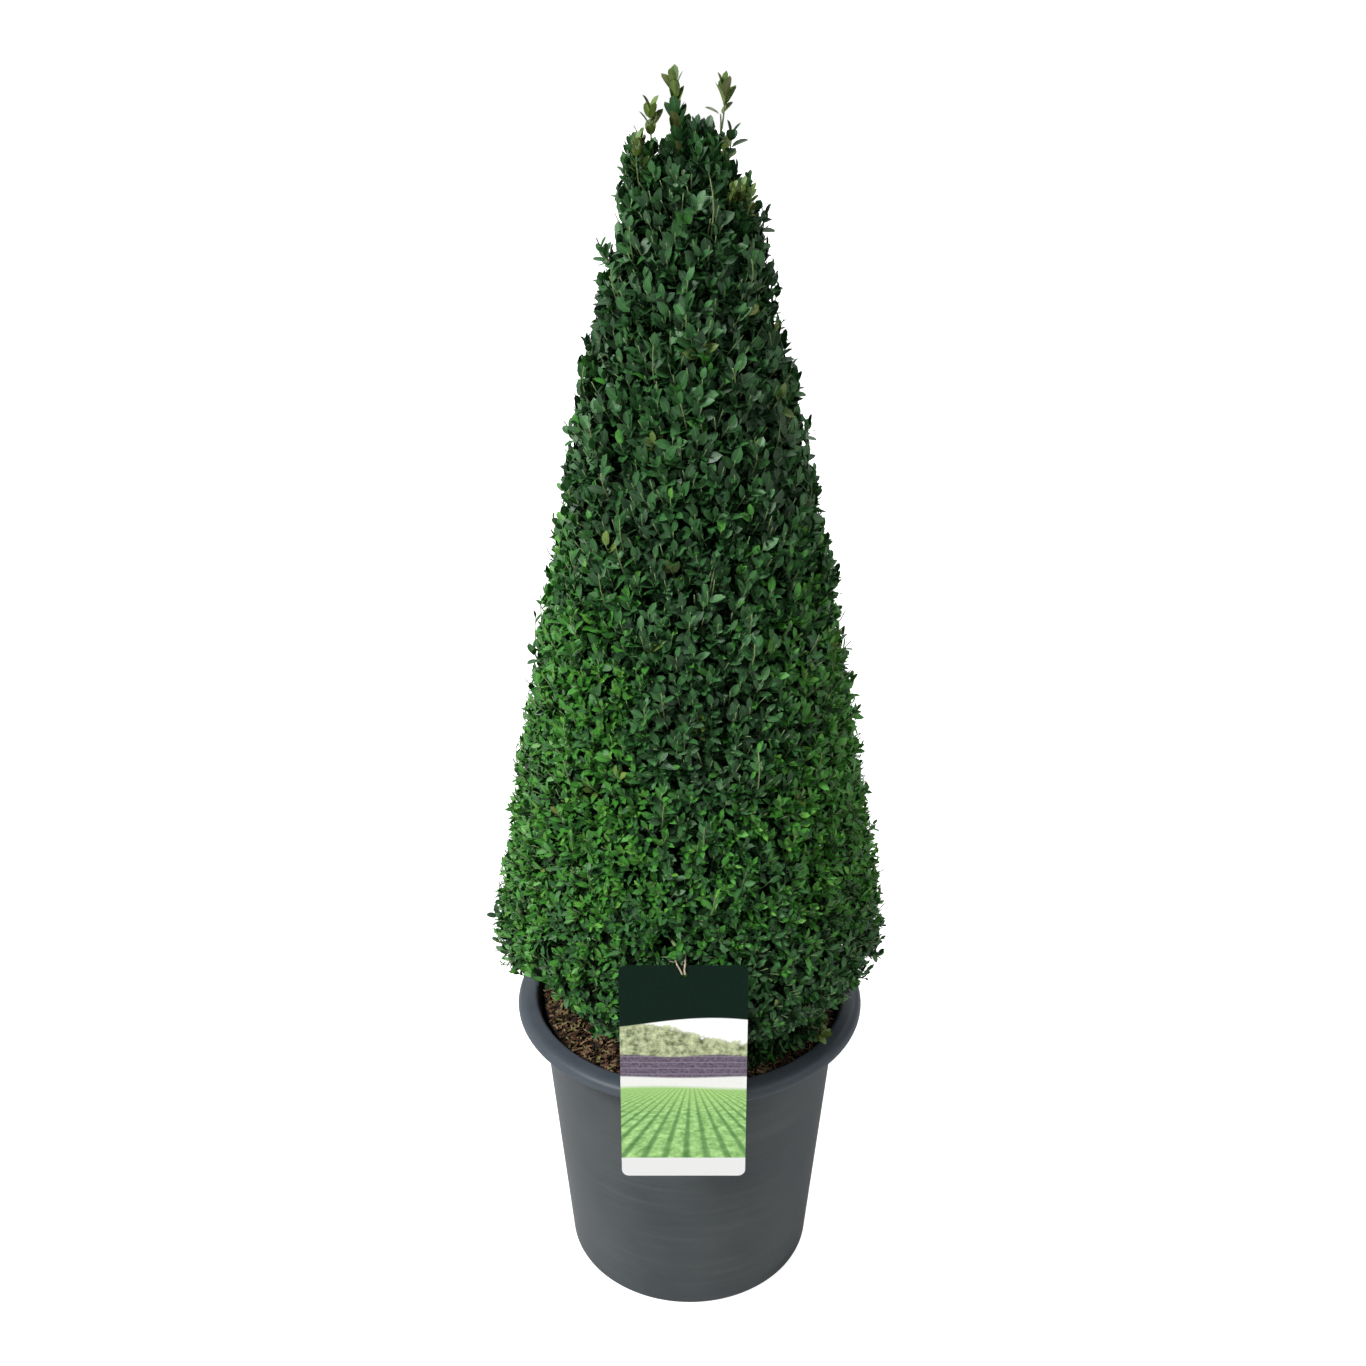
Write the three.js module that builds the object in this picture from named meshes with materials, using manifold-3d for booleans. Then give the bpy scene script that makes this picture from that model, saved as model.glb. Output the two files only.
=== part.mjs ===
// A boxwood clipped to a tall cone, in a round grey container, with a card hung on its foliage.
// Millimetres, +Z up. The origin is the centre of the container's flat underside.
import * as THREE from "three";
import { mergeVertices } from "three/addons/utils/BufferGeometryUtils.js";
import Module from "manifold-3d";

const wasm = await Module();
wasm.setup();

// Container: a tapering wall with a wide rolled lip.
const RIM_RADIUS = 180;
const POT_HEIGHT = 313;
const NECK_RADIUS = 154.5; // top of the straight wall, under the lip
const NECK_HEIGHT = POT_HEIGHT - 25;
const BASE_RADIUS = 130;
const BASE_CORNER = 5;
const WALL = 3;
const FLOOR = 6;
const LIP_DEPTH = 12.5;
const LIP_WIDTH = 21;
const POT_SEGMENTS = 40;
const DRAIN = { count: 6, radius: 6, ring: 88, sides: 10 };

// Potting soil: a flat pad under the trunk, then a lumpy surface up to the wall.
const SOIL_EDGE_HEIGHT = 290;
const SOIL_PAD_HEIGHT = 294;
const SOIL_PAD_RADIUS = 46;
const SOIL_LUMP = 2.6;
const FIT = 0.35; // gap kept between touching pieces
const SMALLEST_EDGE = 0.1; // finer detail than this is smoothed away after joining

// Central stem, from a flat cut on the soil to a thin tip inside the top of the cone.
const TRUNK_FOOT = SOIL_PAD_HEIGHT + FIT;
const TRUNK_TIP = 1122;
const FLARE_RADIUS = 30;
const FLARE_HEIGHT = 70;
const ROOT_LOBES = 5;
const LOBE_DEPTH = 0.14; // share of the radius at the foot
const STEM_RADIUS = 15;
const TIP_RADIUS = 3;
const TRUNK_SWAY = 6;
const TRUNK_SIDES = 12;
const TRUNK_RINGS = 14;
const RING_CROWDING = 1.6; // more than 1 sets the rings closer at the foot

// Clipped outline: a rounded skirt over the container, then a taper with a slight bulge.
const SKIRT_FOOT = { z: 295, radius: 110 };
const WIDEST = { z: 405, radius: 200 };
const CLIPPED_TOP = { z: 1150, radius: 52 };
const BULGE = 7;
const CAP_DROP = 34; // height over which the top rounds off
const SKIRT_LIFT = 24; // how far the skirt is lifted off the soil at the front left
const LIFT_CENTRE = 222; // degrees round the axis from +X
const LIFT_HALF_WIDTH = 62;

// Leaves and twigs. The leaves are twice as long as on the plant.
const LEAF_LENGTH = 36;
const LEAF_WIDTH = 21;
const LEAF_THICKNESS = 1.6;
const LEAF_CUP = 1.2;
const TWIG_RADIUS = 2.6;
const TWIG_ROOT = 10; // how far a twig starts inside the core
const TWIG_REACH = 10; // how far a twig stands out of the core
const PAIR_SPREADS = [64, 46]; // degrees between twig and leaf, lower and upper pair
const PAIR_PLACES = [0.35, 0.85]; // shares of the twig's reach
const WIDER_SPREADS = [0, 18, 36, 54]; // tried in turn until a leaf fits
const LEAF_OVERHANG = 4; // how far a leaf tip may pass the clipped outline
const SPRAY_AREA = 5300; // clipped surface that each spray covers, in mm2
const SPRAY_RISE = 42; // degrees that a spray leans up from the surface's normal
const SPRAY_DRIFT = 0.5;
const GOLDEN_ANGLE = Math.PI * (3 - Math.sqrt(5));
const SEED = 20417;

// Dense inside of the foliage, which the leaves stand out of.
const CORE_SIDES = 16;
const CORE_DEPTH = 17; // how far it lies inside the clipped outline
const SKIRT_CORE_FOOT = 306;
const SKIRT_CORE_WAIST = 360; // height up to which the skirt's core is lifted

// The foliage is divided by cones that rise outwards, so neighbouring leaves interlock.
const DIVIDE_SLOPE = 0.6;
const DIVIDE_GAP = 0.2;
const LEAF_GAP = 0.8;
const MASSES = [
  { name: "foliage_skirt", from: 0, to: 318 },
  { name: "foliage_lower", from: 318, to: 545 },
  { name: "foliage_middle", from: 545, to: 790 },
  { name: "foliage_upper", from: 790, to: 1070 },
  { name: "foliage_tip", from: 1070, to: 1400 },
];

// Shoots left unclipped at the top: foot and tip of each, and its pairs of leaves.
const TIP_SHOOTS = [
  { foot: [-4, -4, 1122], tip: [-12, -6, 1194], pairs: 5 },
  { foot: [10, 2, 1122], tip: [24, 4, 1190], pairs: 3 },
  { foot: [-16, -2, 1118], tip: [-34, -2, 1175], pairs: 3 },
  { foot: [18, -8, 1116], tip: [34, -10, 1157], pairs: 3 },
  { foot: [-24, -6, 1110], tip: [-44, -10, 1146], pairs: 2 },
  { foot: [24, 2, 1100], tip: [46, 6, 1128], pairs: 2 },
  { foot: [-4, 16, 1116], tip: [-8, 30, 1162], pairs: 3 },
  { foot: [10, 18, 1112], tip: [22, 38, 1146], pairs: 2 },
  { foot: [-2, -18, 1112], tip: [0, -36, 1142], pairs: 2 },
];
const TIP_LEAF = { length: 19, width: 9.5 };
const SHOOT_TOP = 0.97; // place of the highest pair along the shoot
const SHOOT_STEP = 0.2;
const SHOOT_SPREAD = 22; // degrees at the highest pair
const SHOOT_WIDENING = 9; // degrees more at each pair below
const SHOOT_POINT = 3;

// Card hung in front of the container, its top leaning back on the foliage.
const CARD = { width: 116.5, height: 228, thickness: 0.8, corner: 7 };
const CARD_TOP = { x: -6.5, y: -193, z: 470 };
const CARD_LEAN = 3.4; // degrees from upright
const CARD_HOLE = { drop: 10, radius: 3.4 };
const CARD_CLEARANCE = 1.2;

// Tie: where each strand crosses the card's top edge, and its side of the hole.
const TIE_RADIUS = 0.8;
const TIE_STRANDS = [
  { edge: -10, side: -1 },
  { edge: 2.5, side: 1 },
];
const TIE_KNOT = { y: -177, z: 475, radius: 2.6 };
const TIE_CLEAR = 21; // leaves keep this far from the middle of the tie
const TIE_TWIG = { foot: -150, tip: -178.5, radius: 3, drop: 3.4 }; // foot and tip along Y

const COLOURS = {
  pot: { color: 0x4a5053, roughness: 0.55 },
  soil: { color: 0x3a2a1c, roughness: 0.95 },
  bark: { color: 0x6b5a3c, roughness: 0.9 },
  leaf: { color: 0x2f5a26, roughness: 0.45 },
  shoot: { color: 0x5e7a2c, roughness: 0.45 },
  card: { color: 0xe8e8e2, roughness: 0.35 },
  tie: { color: 0xb9a27a, roughness: 0.85 },
};

const radians = THREE.MathUtils.degToRad;
const lerp = THREE.MathUtils.lerp;
const smoothstep = THREE.MathUtils.smoothstep;
const UP = new THREE.Vector3(0, 0, 1);

// Seeded random numbers from 0 to 1, the same on every run.
function randomFrom(seed) {
  let state = seed;
  return () => {
    state = (state + 0x6d2b79f5) | 0;
    let mixed = Math.imul(state ^ (state >>> 15), 1 | state);
    mixed = (mixed + Math.imul(mixed ^ (mixed >>> 7), 61 | mixed)) ^ mixed;
    return ((mixed ^ (mixed >>> 14)) >>> 0) / 4294967296;
  };
}

// A closed geometry as a solid for joining and cutting.
function solidOf(geometry) {
  const bare = geometry.index ? geometry.toNonIndexed() : geometry.clone();
  bare.deleteAttribute("normal");
  bare.deleteAttribute("uv");
  const merged = mergeVertices(bare, 1e-3);
  return new wasm.Manifold(
    new wasm.Mesh({
      numProp: 3,
      vertProperties: merged.attributes.position.array,
      triVerts: new Uint32Array(merged.index.array),
    }),
  );
}

// A solid as a geometry for a mesh.
function geometryOf(solid) {
  const mesh = solid.getMesh();
  const geometry = new THREE.BufferGeometry();
  geometry.setAttribute("position", new THREE.BufferAttribute(mesh.vertProperties, 3));
  geometry.setIndex(new THREE.BufferAttribute(mesh.triVerts, 1));
  geometry.computeVertexNormals();
  return geometry;
}

// Joins solids, cuts one away, and keeps the largest body: loose scraps and sealed hollows go.
function fuse(solids, cut) {
  const joined = wasm.Manifold.union(solids);
  const whole = cut ? joined.subtract(cut) : joined;
  const bodies = whole.simplify(SMALLEST_EDGE).decompose();
  return bodies.reduce((best, body) => (body.volume() > best.volume() ? body : best));
}

function meshOf(name, geometry, look) {
  const material = new THREE.MeshStandardMaterial({ ...look, metalness: 0, flatShading: true });
  const mesh = new THREE.Mesh(geometry, material);
  mesh.name = name;
  return mesh;
}

// A profile of radius against height, turned about the Z axis.
function turned(profile, segments) {
  return new THREE.LatheGeometry(profile, segments).rotateX(Math.PI / 2);
}

function potProfile() {
  const lipUnder = POT_HEIGHT - LIP_DEPTH;
  const lipInside = RIM_RADIUS - LIP_WIDTH;
  const path = new THREE.Path();
  path.moveTo(0, 0);
  path.lineTo(BASE_RADIUS - BASE_CORNER, 0);
  path.quadraticCurveTo(BASE_RADIUS, 0, BASE_RADIUS + 0.4, BASE_CORNER);
  path.lineTo(NECK_RADIUS, NECK_HEIGHT);
  path.quadraticCurveTo(NECK_RADIUS + 2, lipUnder - 1, NECK_RADIUS + 14, lipUnder - 0.5);
  path.lineTo(RIM_RADIUS - 2.5, lipUnder);
  path.quadraticCurveTo(RIM_RADIUS, lipUnder, RIM_RADIUS, lipUnder + 4);
  path.quadraticCurveTo(RIM_RADIUS - 1, POT_HEIGHT, RIM_RADIUS - 11, POT_HEIGHT);
  path.lineTo(lipInside + 4, POT_HEIGHT);
  path.quadraticCurveTo(lipInside, POT_HEIGHT, lipInside - 1.5, POT_HEIGHT - 6);
  path.lineTo(NECK_RADIUS - WALL, NECK_HEIGHT - 4);
  path.lineTo(BASE_RADIUS - WALL, FLOOR);
  path.lineTo(0, FLOOR);
  return path.getPoints(3);
}

function potGeometry() {
  const shell = solidOf(turned(potProfile(), POT_SEGMENTS));
  const drain = new THREE.CylinderGeometry(DRAIN.radius, DRAIN.radius, FLOOR * 4, DRAIN.sides);
  drain.rotateX(Math.PI / 2);
  const holes = [];
  for (let i = 0; i < DRAIN.count; i += 1) {
    const angle = (i * 2 * Math.PI) / DRAIN.count;
    const hole = drain.clone().translate(DRAIN.ring * Math.cos(angle), DRAIN.ring * Math.sin(angle), 0);
    holes.push(solidOf(hole));
  }
  return geometryOf(shell.subtract(wasm.Manifold.union(holes)));
}

// Inner radius of the container's straight wall, also carried on above it.
function wallRadius(z) {
  const t = (z - FLOOR) / (NECK_HEIGHT - 4 - FLOOR);
  return lerp(BASE_RADIUS, NECK_RADIUS, t) - WALL;
}

function soilGeometry() {
  const edge = wallRadius(SOIL_EDGE_HEIGHT) - FIT * 1.5;
  const ringRadii = [edge, 128, 104, 78, SOIL_PAD_RADIUS];
  const profile = [new THREE.Vector2(0, FLOOR + FIT)];
  profile.push(new THREE.Vector2(wallRadius(FLOOR) - FIT * 1.5, FLOOR + FIT));
  for (const radius of ringRadii) {
    const t = (edge - radius) / (edge - SOIL_PAD_RADIUS);
    profile.push(new THREE.Vector2(radius, lerp(SOIL_EDGE_HEIGHT, SOIL_PAD_HEIGHT, t)));
  }
  profile.push(new THREE.Vector2(0, SOIL_PAD_HEIGHT));
  const geometry = turned(profile, POT_SEGMENTS);
  const position = geometry.attributes.position;
  for (let i = 0; i < position.count; i += 1) {
    const radius = Math.hypot(position.getX(i), position.getY(i));
    if (position.getZ(i) < SOIL_EDGE_HEIGHT - 1 || radius <= SOIL_PAD_RADIUS + 1) {
      continue;
    }
    const angle = Math.atan2(position.getY(i), position.getX(i));
    const lump = Math.sin(5 * angle + radius / 14) + Math.cos(8 * angle - radius / 9);
    position.setZ(i, position.getZ(i) + (SOIL_LUMP * lump) / 2);
  }
  return geometry;
}

// How far the stem's centre wanders from the axis at a height.
function trunkCentre(z) {
  const t = (z - TRUNK_FOOT) / (TRUNK_TIP - TRUNK_FOOT);
  const sway = TRUNK_SWAY * Math.sin(Math.PI * t);
  return [sway * Math.sin(4.2 * t), sway * Math.cos(5.1 * t + 0.6)];
}

function trunkRadius(z) {
  const t = (z - TRUNK_FOOT) / (TRUNK_TIP - TRUNK_FOOT);
  const flare = 1 - smoothstep(z, TRUNK_FOOT, TRUNK_FOOT + FLARE_HEIGHT);
  return lerp(STEM_RADIUS, TIP_RADIUS, t) + (FLARE_RADIUS - STEM_RADIUS) * flare * flare;
}

// The stem, or the stem grown by a clearance to cut its way through the cores.
function trunkGeometry(clearance) {
  const profile = [new THREE.Vector2(0, TRUNK_FOOT - clearance)];
  for (let i = 0; i <= TRUNK_RINGS; i += 1) {
    const t = (i / TRUNK_RINGS) ** RING_CROWDING;
    const z = lerp(TRUNK_FOOT, TRUNK_TIP, t);
    profile.push(new THREE.Vector2(trunkRadius(z) + clearance, lerp(z - clearance, z + clearance, t)));
  }
  profile.push(new THREE.Vector2(0, TRUNK_TIP + clearance));
  const geometry = turned(profile, TRUNK_SIDES);
  const position = geometry.attributes.position;
  for (let i = 0; i < position.count; i += 1) {
    const z = Math.min(Math.max(position.getZ(i), TRUNK_FOOT), TRUNK_TIP);
    const [dx, dy] = trunkCentre(z);
    const angle = Math.atan2(position.getY(i), position.getX(i));
    const flare = 1 - smoothstep(z, TRUNK_FOOT, TRUNK_FOOT + FLARE_HEIGHT);
    const lobe = 1 + LOBE_DEPTH * flare * Math.cos(ROOT_LOBES * angle);
    position.setXY(i, position.getX(i) * lobe + dx, position.getY(i) * lobe + dy);
  }
  return geometry;
}

// Radius of the clipped outline at a height.
function outline(z) {
  if (z < WIDEST.z) {
    const drop = Math.min((WIDEST.z - z) / (WIDEST.z - SKIRT_FOOT.z), 1);
    return SKIRT_FOOT.radius + (WIDEST.radius - SKIRT_FOOT.radius) * Math.sqrt(1 - drop * drop);
  }
  const t = Math.min((z - WIDEST.z) / (CLIPPED_TOP.z - WIDEST.z), 1);
  const taper = lerp(WIDEST.radius, CLIPPED_TOP.radius, t) + BULGE * Math.sin(Math.PI * t);
  const cap = Math.min(Math.max((z - CLIPPED_TOP.z + CAP_DROP) / CAP_DROP, 0), 1);
  return taper * Math.sqrt(1 - 0.8 * cap * cap);
}

// How far the foot of the foliage is lifted off the soil at an angle.
function skirtLift(angle) {
  const degrees = THREE.MathUtils.radToDeg(angle) - LIFT_CENTRE;
  const turn = THREE.MathUtils.euclideanModulo(degrees + 180, 360) - 180;
  if (Math.abs(turn) > LIFT_HALF_WIDTH) {
    return 0;
  }
  return SKIRT_LIFT * Math.cos(((turn / LIFT_HALF_WIDTH) * Math.PI) / 2) ** 2;
}

// Outward normal of the clipped outline, as radial and upward shares.
function outlineNormal(z) {
  const slope = (outline(z + 2) - outline(z - 2)) / 4;
  const length = Math.hypot(1, slope);
  return [1 / length, -slope / length];
}

function coreRadius(z) {
  return Math.max(outline(z) - CORE_DEPTH, 10);
}

// Height of a dividing cone at a radius.
const divideHeight = (start, radius) => start + DIVIDE_SLOPE * radius;

// Height of a point over the flat-sided dividing cone that starts from zero.
function heightOverDivide(point) {
  const half = Math.PI / CORE_SIDES;
  const angle = Math.atan2(point.y, point.x);
  const offCentre = angle - (2 * Math.floor(angle / (2 * half)) + 1) * half;
  const radius = Math.hypot(point.x, point.y);
  return point.z - (DIVIDE_SLOPE * radius * Math.cos(offCentre)) / Math.cos(half);
}

// Where a dividing cone meets the core's surface.
function divideMeetsCore(start) {
  let radius = coreRadius(start);
  for (let i = 0; i < 40; i += 1) {
    radius = (radius + coreRadius(divideHeight(start, radius))) / 2;
  }
  return radius;
}

// The foot of the skirt's core, lifted where the soil shows.
function liftedSkirt(geometry) {
  const position = geometry.attributes.position;
  for (let i = 0; i < position.count; i += 1) {
    const z = position.getZ(i);
    const radius = Math.hypot(position.getX(i), position.getY(i));
    if (z < SKIRT_CORE_WAIST && radius > SOIL_PAD_RADIUS) {
      const share = (SKIRT_CORE_WAIST - z) / (SKIRT_CORE_WAIST - SKIRT_CORE_FOOT);
      position.setZ(i, z + share * skirtLift(Math.atan2(position.getY(i), position.getX(i))));
    }
  }
  return geometry;
}

// The dense inside of one mass, between two dividing cones.
function coreSolid(mass) {
  const profile = [];
  const isSkirt = mass === MASSES[0];
  const isTip = mass === MASSES[MASSES.length - 1];
  if (isSkirt) {
    profile.push([0, SKIRT_CORE_FOOT], [70, SKIRT_CORE_FOOT], [120, 312], [144, 326], [164, 348]);
  } else {
    const low = divideMeetsCore(mass.from);
    const start = mass.from + DIVIDE_GAP;
    profile.push([0, start], [low, divideHeight(start, low)]);
  }
  const lastRadius = isTip ? 0 : divideMeetsCore(mass.to);
  const firstHeight = profile[profile.length - 1][1];
  const lastHeight = isTip ? CLIPPED_TOP.z - 18 : divideHeight(mass.to - DIVIDE_GAP, lastRadius);
  const steps = isSkirt ? 2 : 3;
  for (let i = 1; i < steps; i += 1) {
    const z = lerp(firstHeight, lastHeight, i / steps);
    profile.push([coreRadius(z), z]);
  }
  if (isTip) {
    profile.push([coreRadius(lastHeight), lastHeight], [0, lastHeight + 6]);
  } else {
    profile.push([lastRadius, lastHeight], [0, mass.to - DIVIDE_GAP]);
  }
  const points = profile.map(([radius, z]) => new THREE.Vector2(radius, z));
  const geometry = turned(points, CORE_SIDES);
  return solidOf(isSkirt ? liftedSkirt(geometry) : geometry);
}

// A frame on the middle of the card's top edge: X across, Y up the card, Z out of its front.
function cardMatrix() {
  const tilt = new THREE.Matrix4().makeRotationX(radians(90 - CARD_LEAN));
  return tilt.setPosition(CARD_TOP.x, CARD_TOP.y, CARD_TOP.z);
}

// Depth of a point behind the card's back face, or a large number where the card isn't.
function behindCard(point) {
  const local = point.clone().applyMatrix4(cardMatrix().invert());
  const beside = Math.abs(local.x) > CARD.width / 2 + 4 || local.y > 4 || local.y < -CARD.height - 4;
  return beside ? 1000 : -local.z - CARD.thickness;
}

function tieDistance(point) {
  const middle = new THREE.Vector3(CARD_TOP.x, (CARD_TOP.y + TIE_KNOT.y) / 2, TIE_KNOT.z);
  return middle.distanceTo(point);
}

// True where a point of a leaf or twig lies in its mass's own space, with a gap to spare.
function inSpace(point, mass, gap) {
  const radius = Math.hypot(point.x, point.y);
  const height = heightOverDivide(point);
  const isTip = mass === MASSES[MASSES.length - 1];
  if (height < mass.from + gap || height > mass.to - gap) {
    return false;
  }
  if (!isTip && radius > outline(point.z) + LEAF_OVERHANG) {
    return false;
  }
  const overRim = radius > RIM_RADIUS - LIP_WIDTH - 10;
  const lift = skirtLift(Math.atan2(point.y, point.x));
  const floor = overRim ? POT_HEIGHT + 3 : SOIL_PAD_HEIGHT + SOIL_LUMP + 2 + lift;
  return point.z > floor && behindCard(point) > CARD_CLEARANCE && tieDistance(point) > TIE_CLEAR;
}

const sum = (...vectors) => vectors.reduce((total, v) => total.add(v), new THREE.Vector3());
const scaled = (vector, factor) => vector.clone().multiplyScalar(factor);

// A leaf of eight faces: pointed root and tip, two sides, and a fold along the midrib.
function leafPoints(root, along, face, length, width) {
  const side = new THREE.Vector3().crossVectors(face, along);
  const middle = sum(root, scaled(along, length * 0.5));
  return [
    root.clone(),
    sum(middle, scaled(side, -width / 2)),
    sum(root, scaled(along, length), scaled(face, -length * 0.06)),
    sum(middle, scaled(side, width / 2)),
    sum(middle, scaled(face, LEAF_THICKNESS / 2 - LEAF_CUP)),
    sum(middle, scaled(face, -LEAF_THICKNESS / 2 - LEAF_CUP)),
  ];
}

function leafGeometry(points) {
  const geometry = new THREE.BufferGeometry().setFromPoints(points);
  const upper = [0, 1, 4, 1, 2, 4, 2, 3, 4, 3, 0, 4];
  const lower = [1, 0, 5, 2, 1, 5, 3, 2, 5, 0, 3, 5];
  geometry.setIndex([...upper, ...lower]);
  return geometry;
}

// A three-sided twig that tapers to a point.
function twigGeometry(foot, tip, radius) {
  const along = new THREE.Vector3().subVectors(tip, foot);
  const geometry = new THREE.ConeGeometry(radius, along.length(), 3);
  const turn = new THREE.Quaternion();
  turn.setFromUnitVectors(new THREE.Vector3(0, 1, 0), along.clone().normalize());
  geometry.applyQuaternion(turn);
  const centre = scaled(sum(foot, tip), 0.5);
  return geometry.translate(centre.x, centre.y, centre.z);
}

// A leaf that stands off its twig by an angle, its upper face turned to the twig's tip.
function leafOff(node, along, side, spread, size) {
  const leafAlong = sum(scaled(along, Math.cos(spread)), scaled(side, Math.sin(spread)));
  const face = sum(along, scaled(leafAlong, -along.dot(leafAlong))).normalize();
  return leafPoints(node, leafAlong.normalize(), face, size.length, size.width);
}

// A pair of opposite leaves. Each opens wider until it fits its space, or is left out.
function leafPair(node, along, side, spread, size, mass) {
  const pair = [];
  for (const facing of [side, scaled(side, -1)]) {
    const tries = WIDER_SPREADS.map((wider) => {
      return leafOff(node, along, facing, radians(spread + wider), size);
    });
    const fitting = tries.find((leaf) => leaf.every((point) => inSpace(point, mass, LEAF_GAP)));
    if (fitting) {
      pair.push(fitting);
    }
  }
  return pair;
}

// Two pairs of leaves, crossed, on a twig whose foot is sunk in the core.
function spray(root, random) {
  const outwards = new THREE.Vector3(Math.cos(root.angle), Math.sin(root.angle), 0);
  const [radial, rise] = outlineNormal(root.z);
  const normal = sum(scaled(outwards, radial), scaled(UP, rise));
  const lean = Math.tan(radians(SPRAY_RISE * (0.75 + 0.5 * random())));
  const drift = new THREE.Vector3(random() - 0.5, random() - 0.5, random() - 0.5);
  const along = sum(normal, scaled(UP, lean * root.lift), scaled(drift, SPRAY_DRIFT)).normalize();
  const surface = sum(scaled(outwards, coreRadius(root.z)), scaled(UP, root.z));
  const foot = sum(surface, scaled(along, -TWIG_ROOT));
  const twigLength = TWIG_REACH * (0.85 + 0.3 * random());
  const tip = sum(surface, scaled(along, twigLength));
  const across = new THREE.Vector3().crossVectors(along, UP).normalize();
  const side = across.applyAxisAngle(along, random() * Math.PI);
  const length = LEAF_LENGTH * (0.85 + 0.25 * random());
  const size = { length, width: (length * LEAF_WIDTH) / LEAF_LENGTH };
  const mass = massAt(tip);
  if (!inSpace(tip, mass, LEAF_GAP) || !inSpace(foot, mass, TWIG_RADIUS * 1.4)) {
    return null;
  }
  const leaves = PAIR_PLACES.flatMap((place, i) => {
    const node = sum(surface, scaled(along, twigLength * place));
    const facing = side.clone().applyAxisAngle(along, (i * Math.PI) / 2);
    return leafPair(node, along, facing, PAIR_SPREADS[i], size, mass);
  });
  return { mass, foot, tip, leaves };
}

// Places spread evenly over the clipped outline: each stands for the same area.
function sprayRoots(random) {
  const roots = [];
  let area = SPRAY_AREA / 2;
  for (let z = SKIRT_FOOT.z + 14; z < CLIPPED_TOP.z; z += 1) {
    area += 2 * Math.PI * outline(z) * Math.hypot(outline(z + 1) - outline(z), 1);
    while (area > SPRAY_AREA) {
      area -= SPRAY_AREA;
      const angle = roots.length * GOLDEN_ANGLE + 0.25 * random();
      roots.push({ z, angle, lift: smoothstep(z, SKIRT_FOOT.z, WIDEST.z) });
    }
  }
  return roots;
}

// The mass whose space holds the middle of a spray.
function massAt(point) {
  const height = heightOverDivide(point);
  return MASSES.find((mass) => height < mass.to);
}

// An unclipped shoot at the top: a long twig with crossed pairs of leaves.
function tipShoot(shoot, index) {
  const foot = new THREE.Vector3(...shoot.foot);
  const tip = new THREE.Vector3(...shoot.tip);
  const along = new THREE.Vector3().subVectors(tip, foot).normalize();
  const side = new THREE.Vector3(Math.cos(index), Math.sin(index), 0).cross(along).normalize();
  const leaves = [];
  for (let i = 0; i < shoot.pairs; i += 1) {
    const node = foot.clone().lerp(tip, SHOOT_TOP - SHOOT_STEP * i);
    const turn = side.clone().applyAxisAngle(along, (i * Math.PI) / 2);
    const spread = radians(SHOOT_SPREAD + SHOOT_WIDENING * i);
    leaves.push(leafOff(node, along, turn, spread, TIP_LEAF));
    leaves.push(leafOff(node, along, scaled(turn, -1), spread, TIP_LEAF));
  }
  return { foot, tip: sum(tip, scaled(along, SHOOT_POINT)), leaves };
}

// Twigs and leaves of every mass, sorted into the masses' own spaces.
function growFoliage() {
  const random = randomFrom(SEED);
  const grown = new Map(MASSES.map((mass) => [mass.name, []]));
  for (const root of sprayRoots(random)) {
    const grownSpray = spray(root, random);
    if (grownSpray && grownSpray.leaves.length) {
      const pieces = grown.get(grownSpray.mass.name);
      pieces.push(solidOf(twigGeometry(grownSpray.foot, grownSpray.tip, TWIG_RADIUS)));
      pieces.push(...grownSpray.leaves.map((leaf) => solidOf(leafGeometry(leaf))));
    }
  }
  const tipPieces = grown.get("foliage_tip");
  TIP_SHOOTS.forEach((shoot, index) => {
    const { foot, tip, leaves } = tipShoot(shoot, index);
    tipPieces.push(solidOf(twigGeometry(foot, tip, TWIG_RADIUS)));
    tipPieces.push(...leaves.map((leaf) => solidOf(leafGeometry(leaf))));
  });
  return grown;
}

function cardGeometry() {
  const side = CARD.width / 2 - CARD.corner;
  const low = CARD.corner - CARD.height;
  const face = new THREE.Shape();
  face.absarc(side, -CARD.corner, CARD.corner, 0, Math.PI / 2);
  face.absarc(-side, -CARD.corner, CARD.corner, Math.PI / 2, Math.PI);
  face.absarc(-side, low, CARD.corner, Math.PI, 1.5 * Math.PI);
  face.absarc(side, low, CARD.corner, 1.5 * Math.PI, 2 * Math.PI);
  face.closePath();
  const hole = new THREE.Path();
  hole.absarc(0, -CARD_HOLE.drop, CARD_HOLE.radius, 0, 2 * Math.PI, true);
  face.holes.push(hole);
  const geometry = new THREE.ExtrudeGeometry(face, {
    depth: CARD.thickness,
    bevelEnabled: false,
    curveSegments: 4,
  });
  geometry.translate(0, 0, -CARD.thickness);
  return geometry.applyMatrix4(cardMatrix());
}

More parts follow.
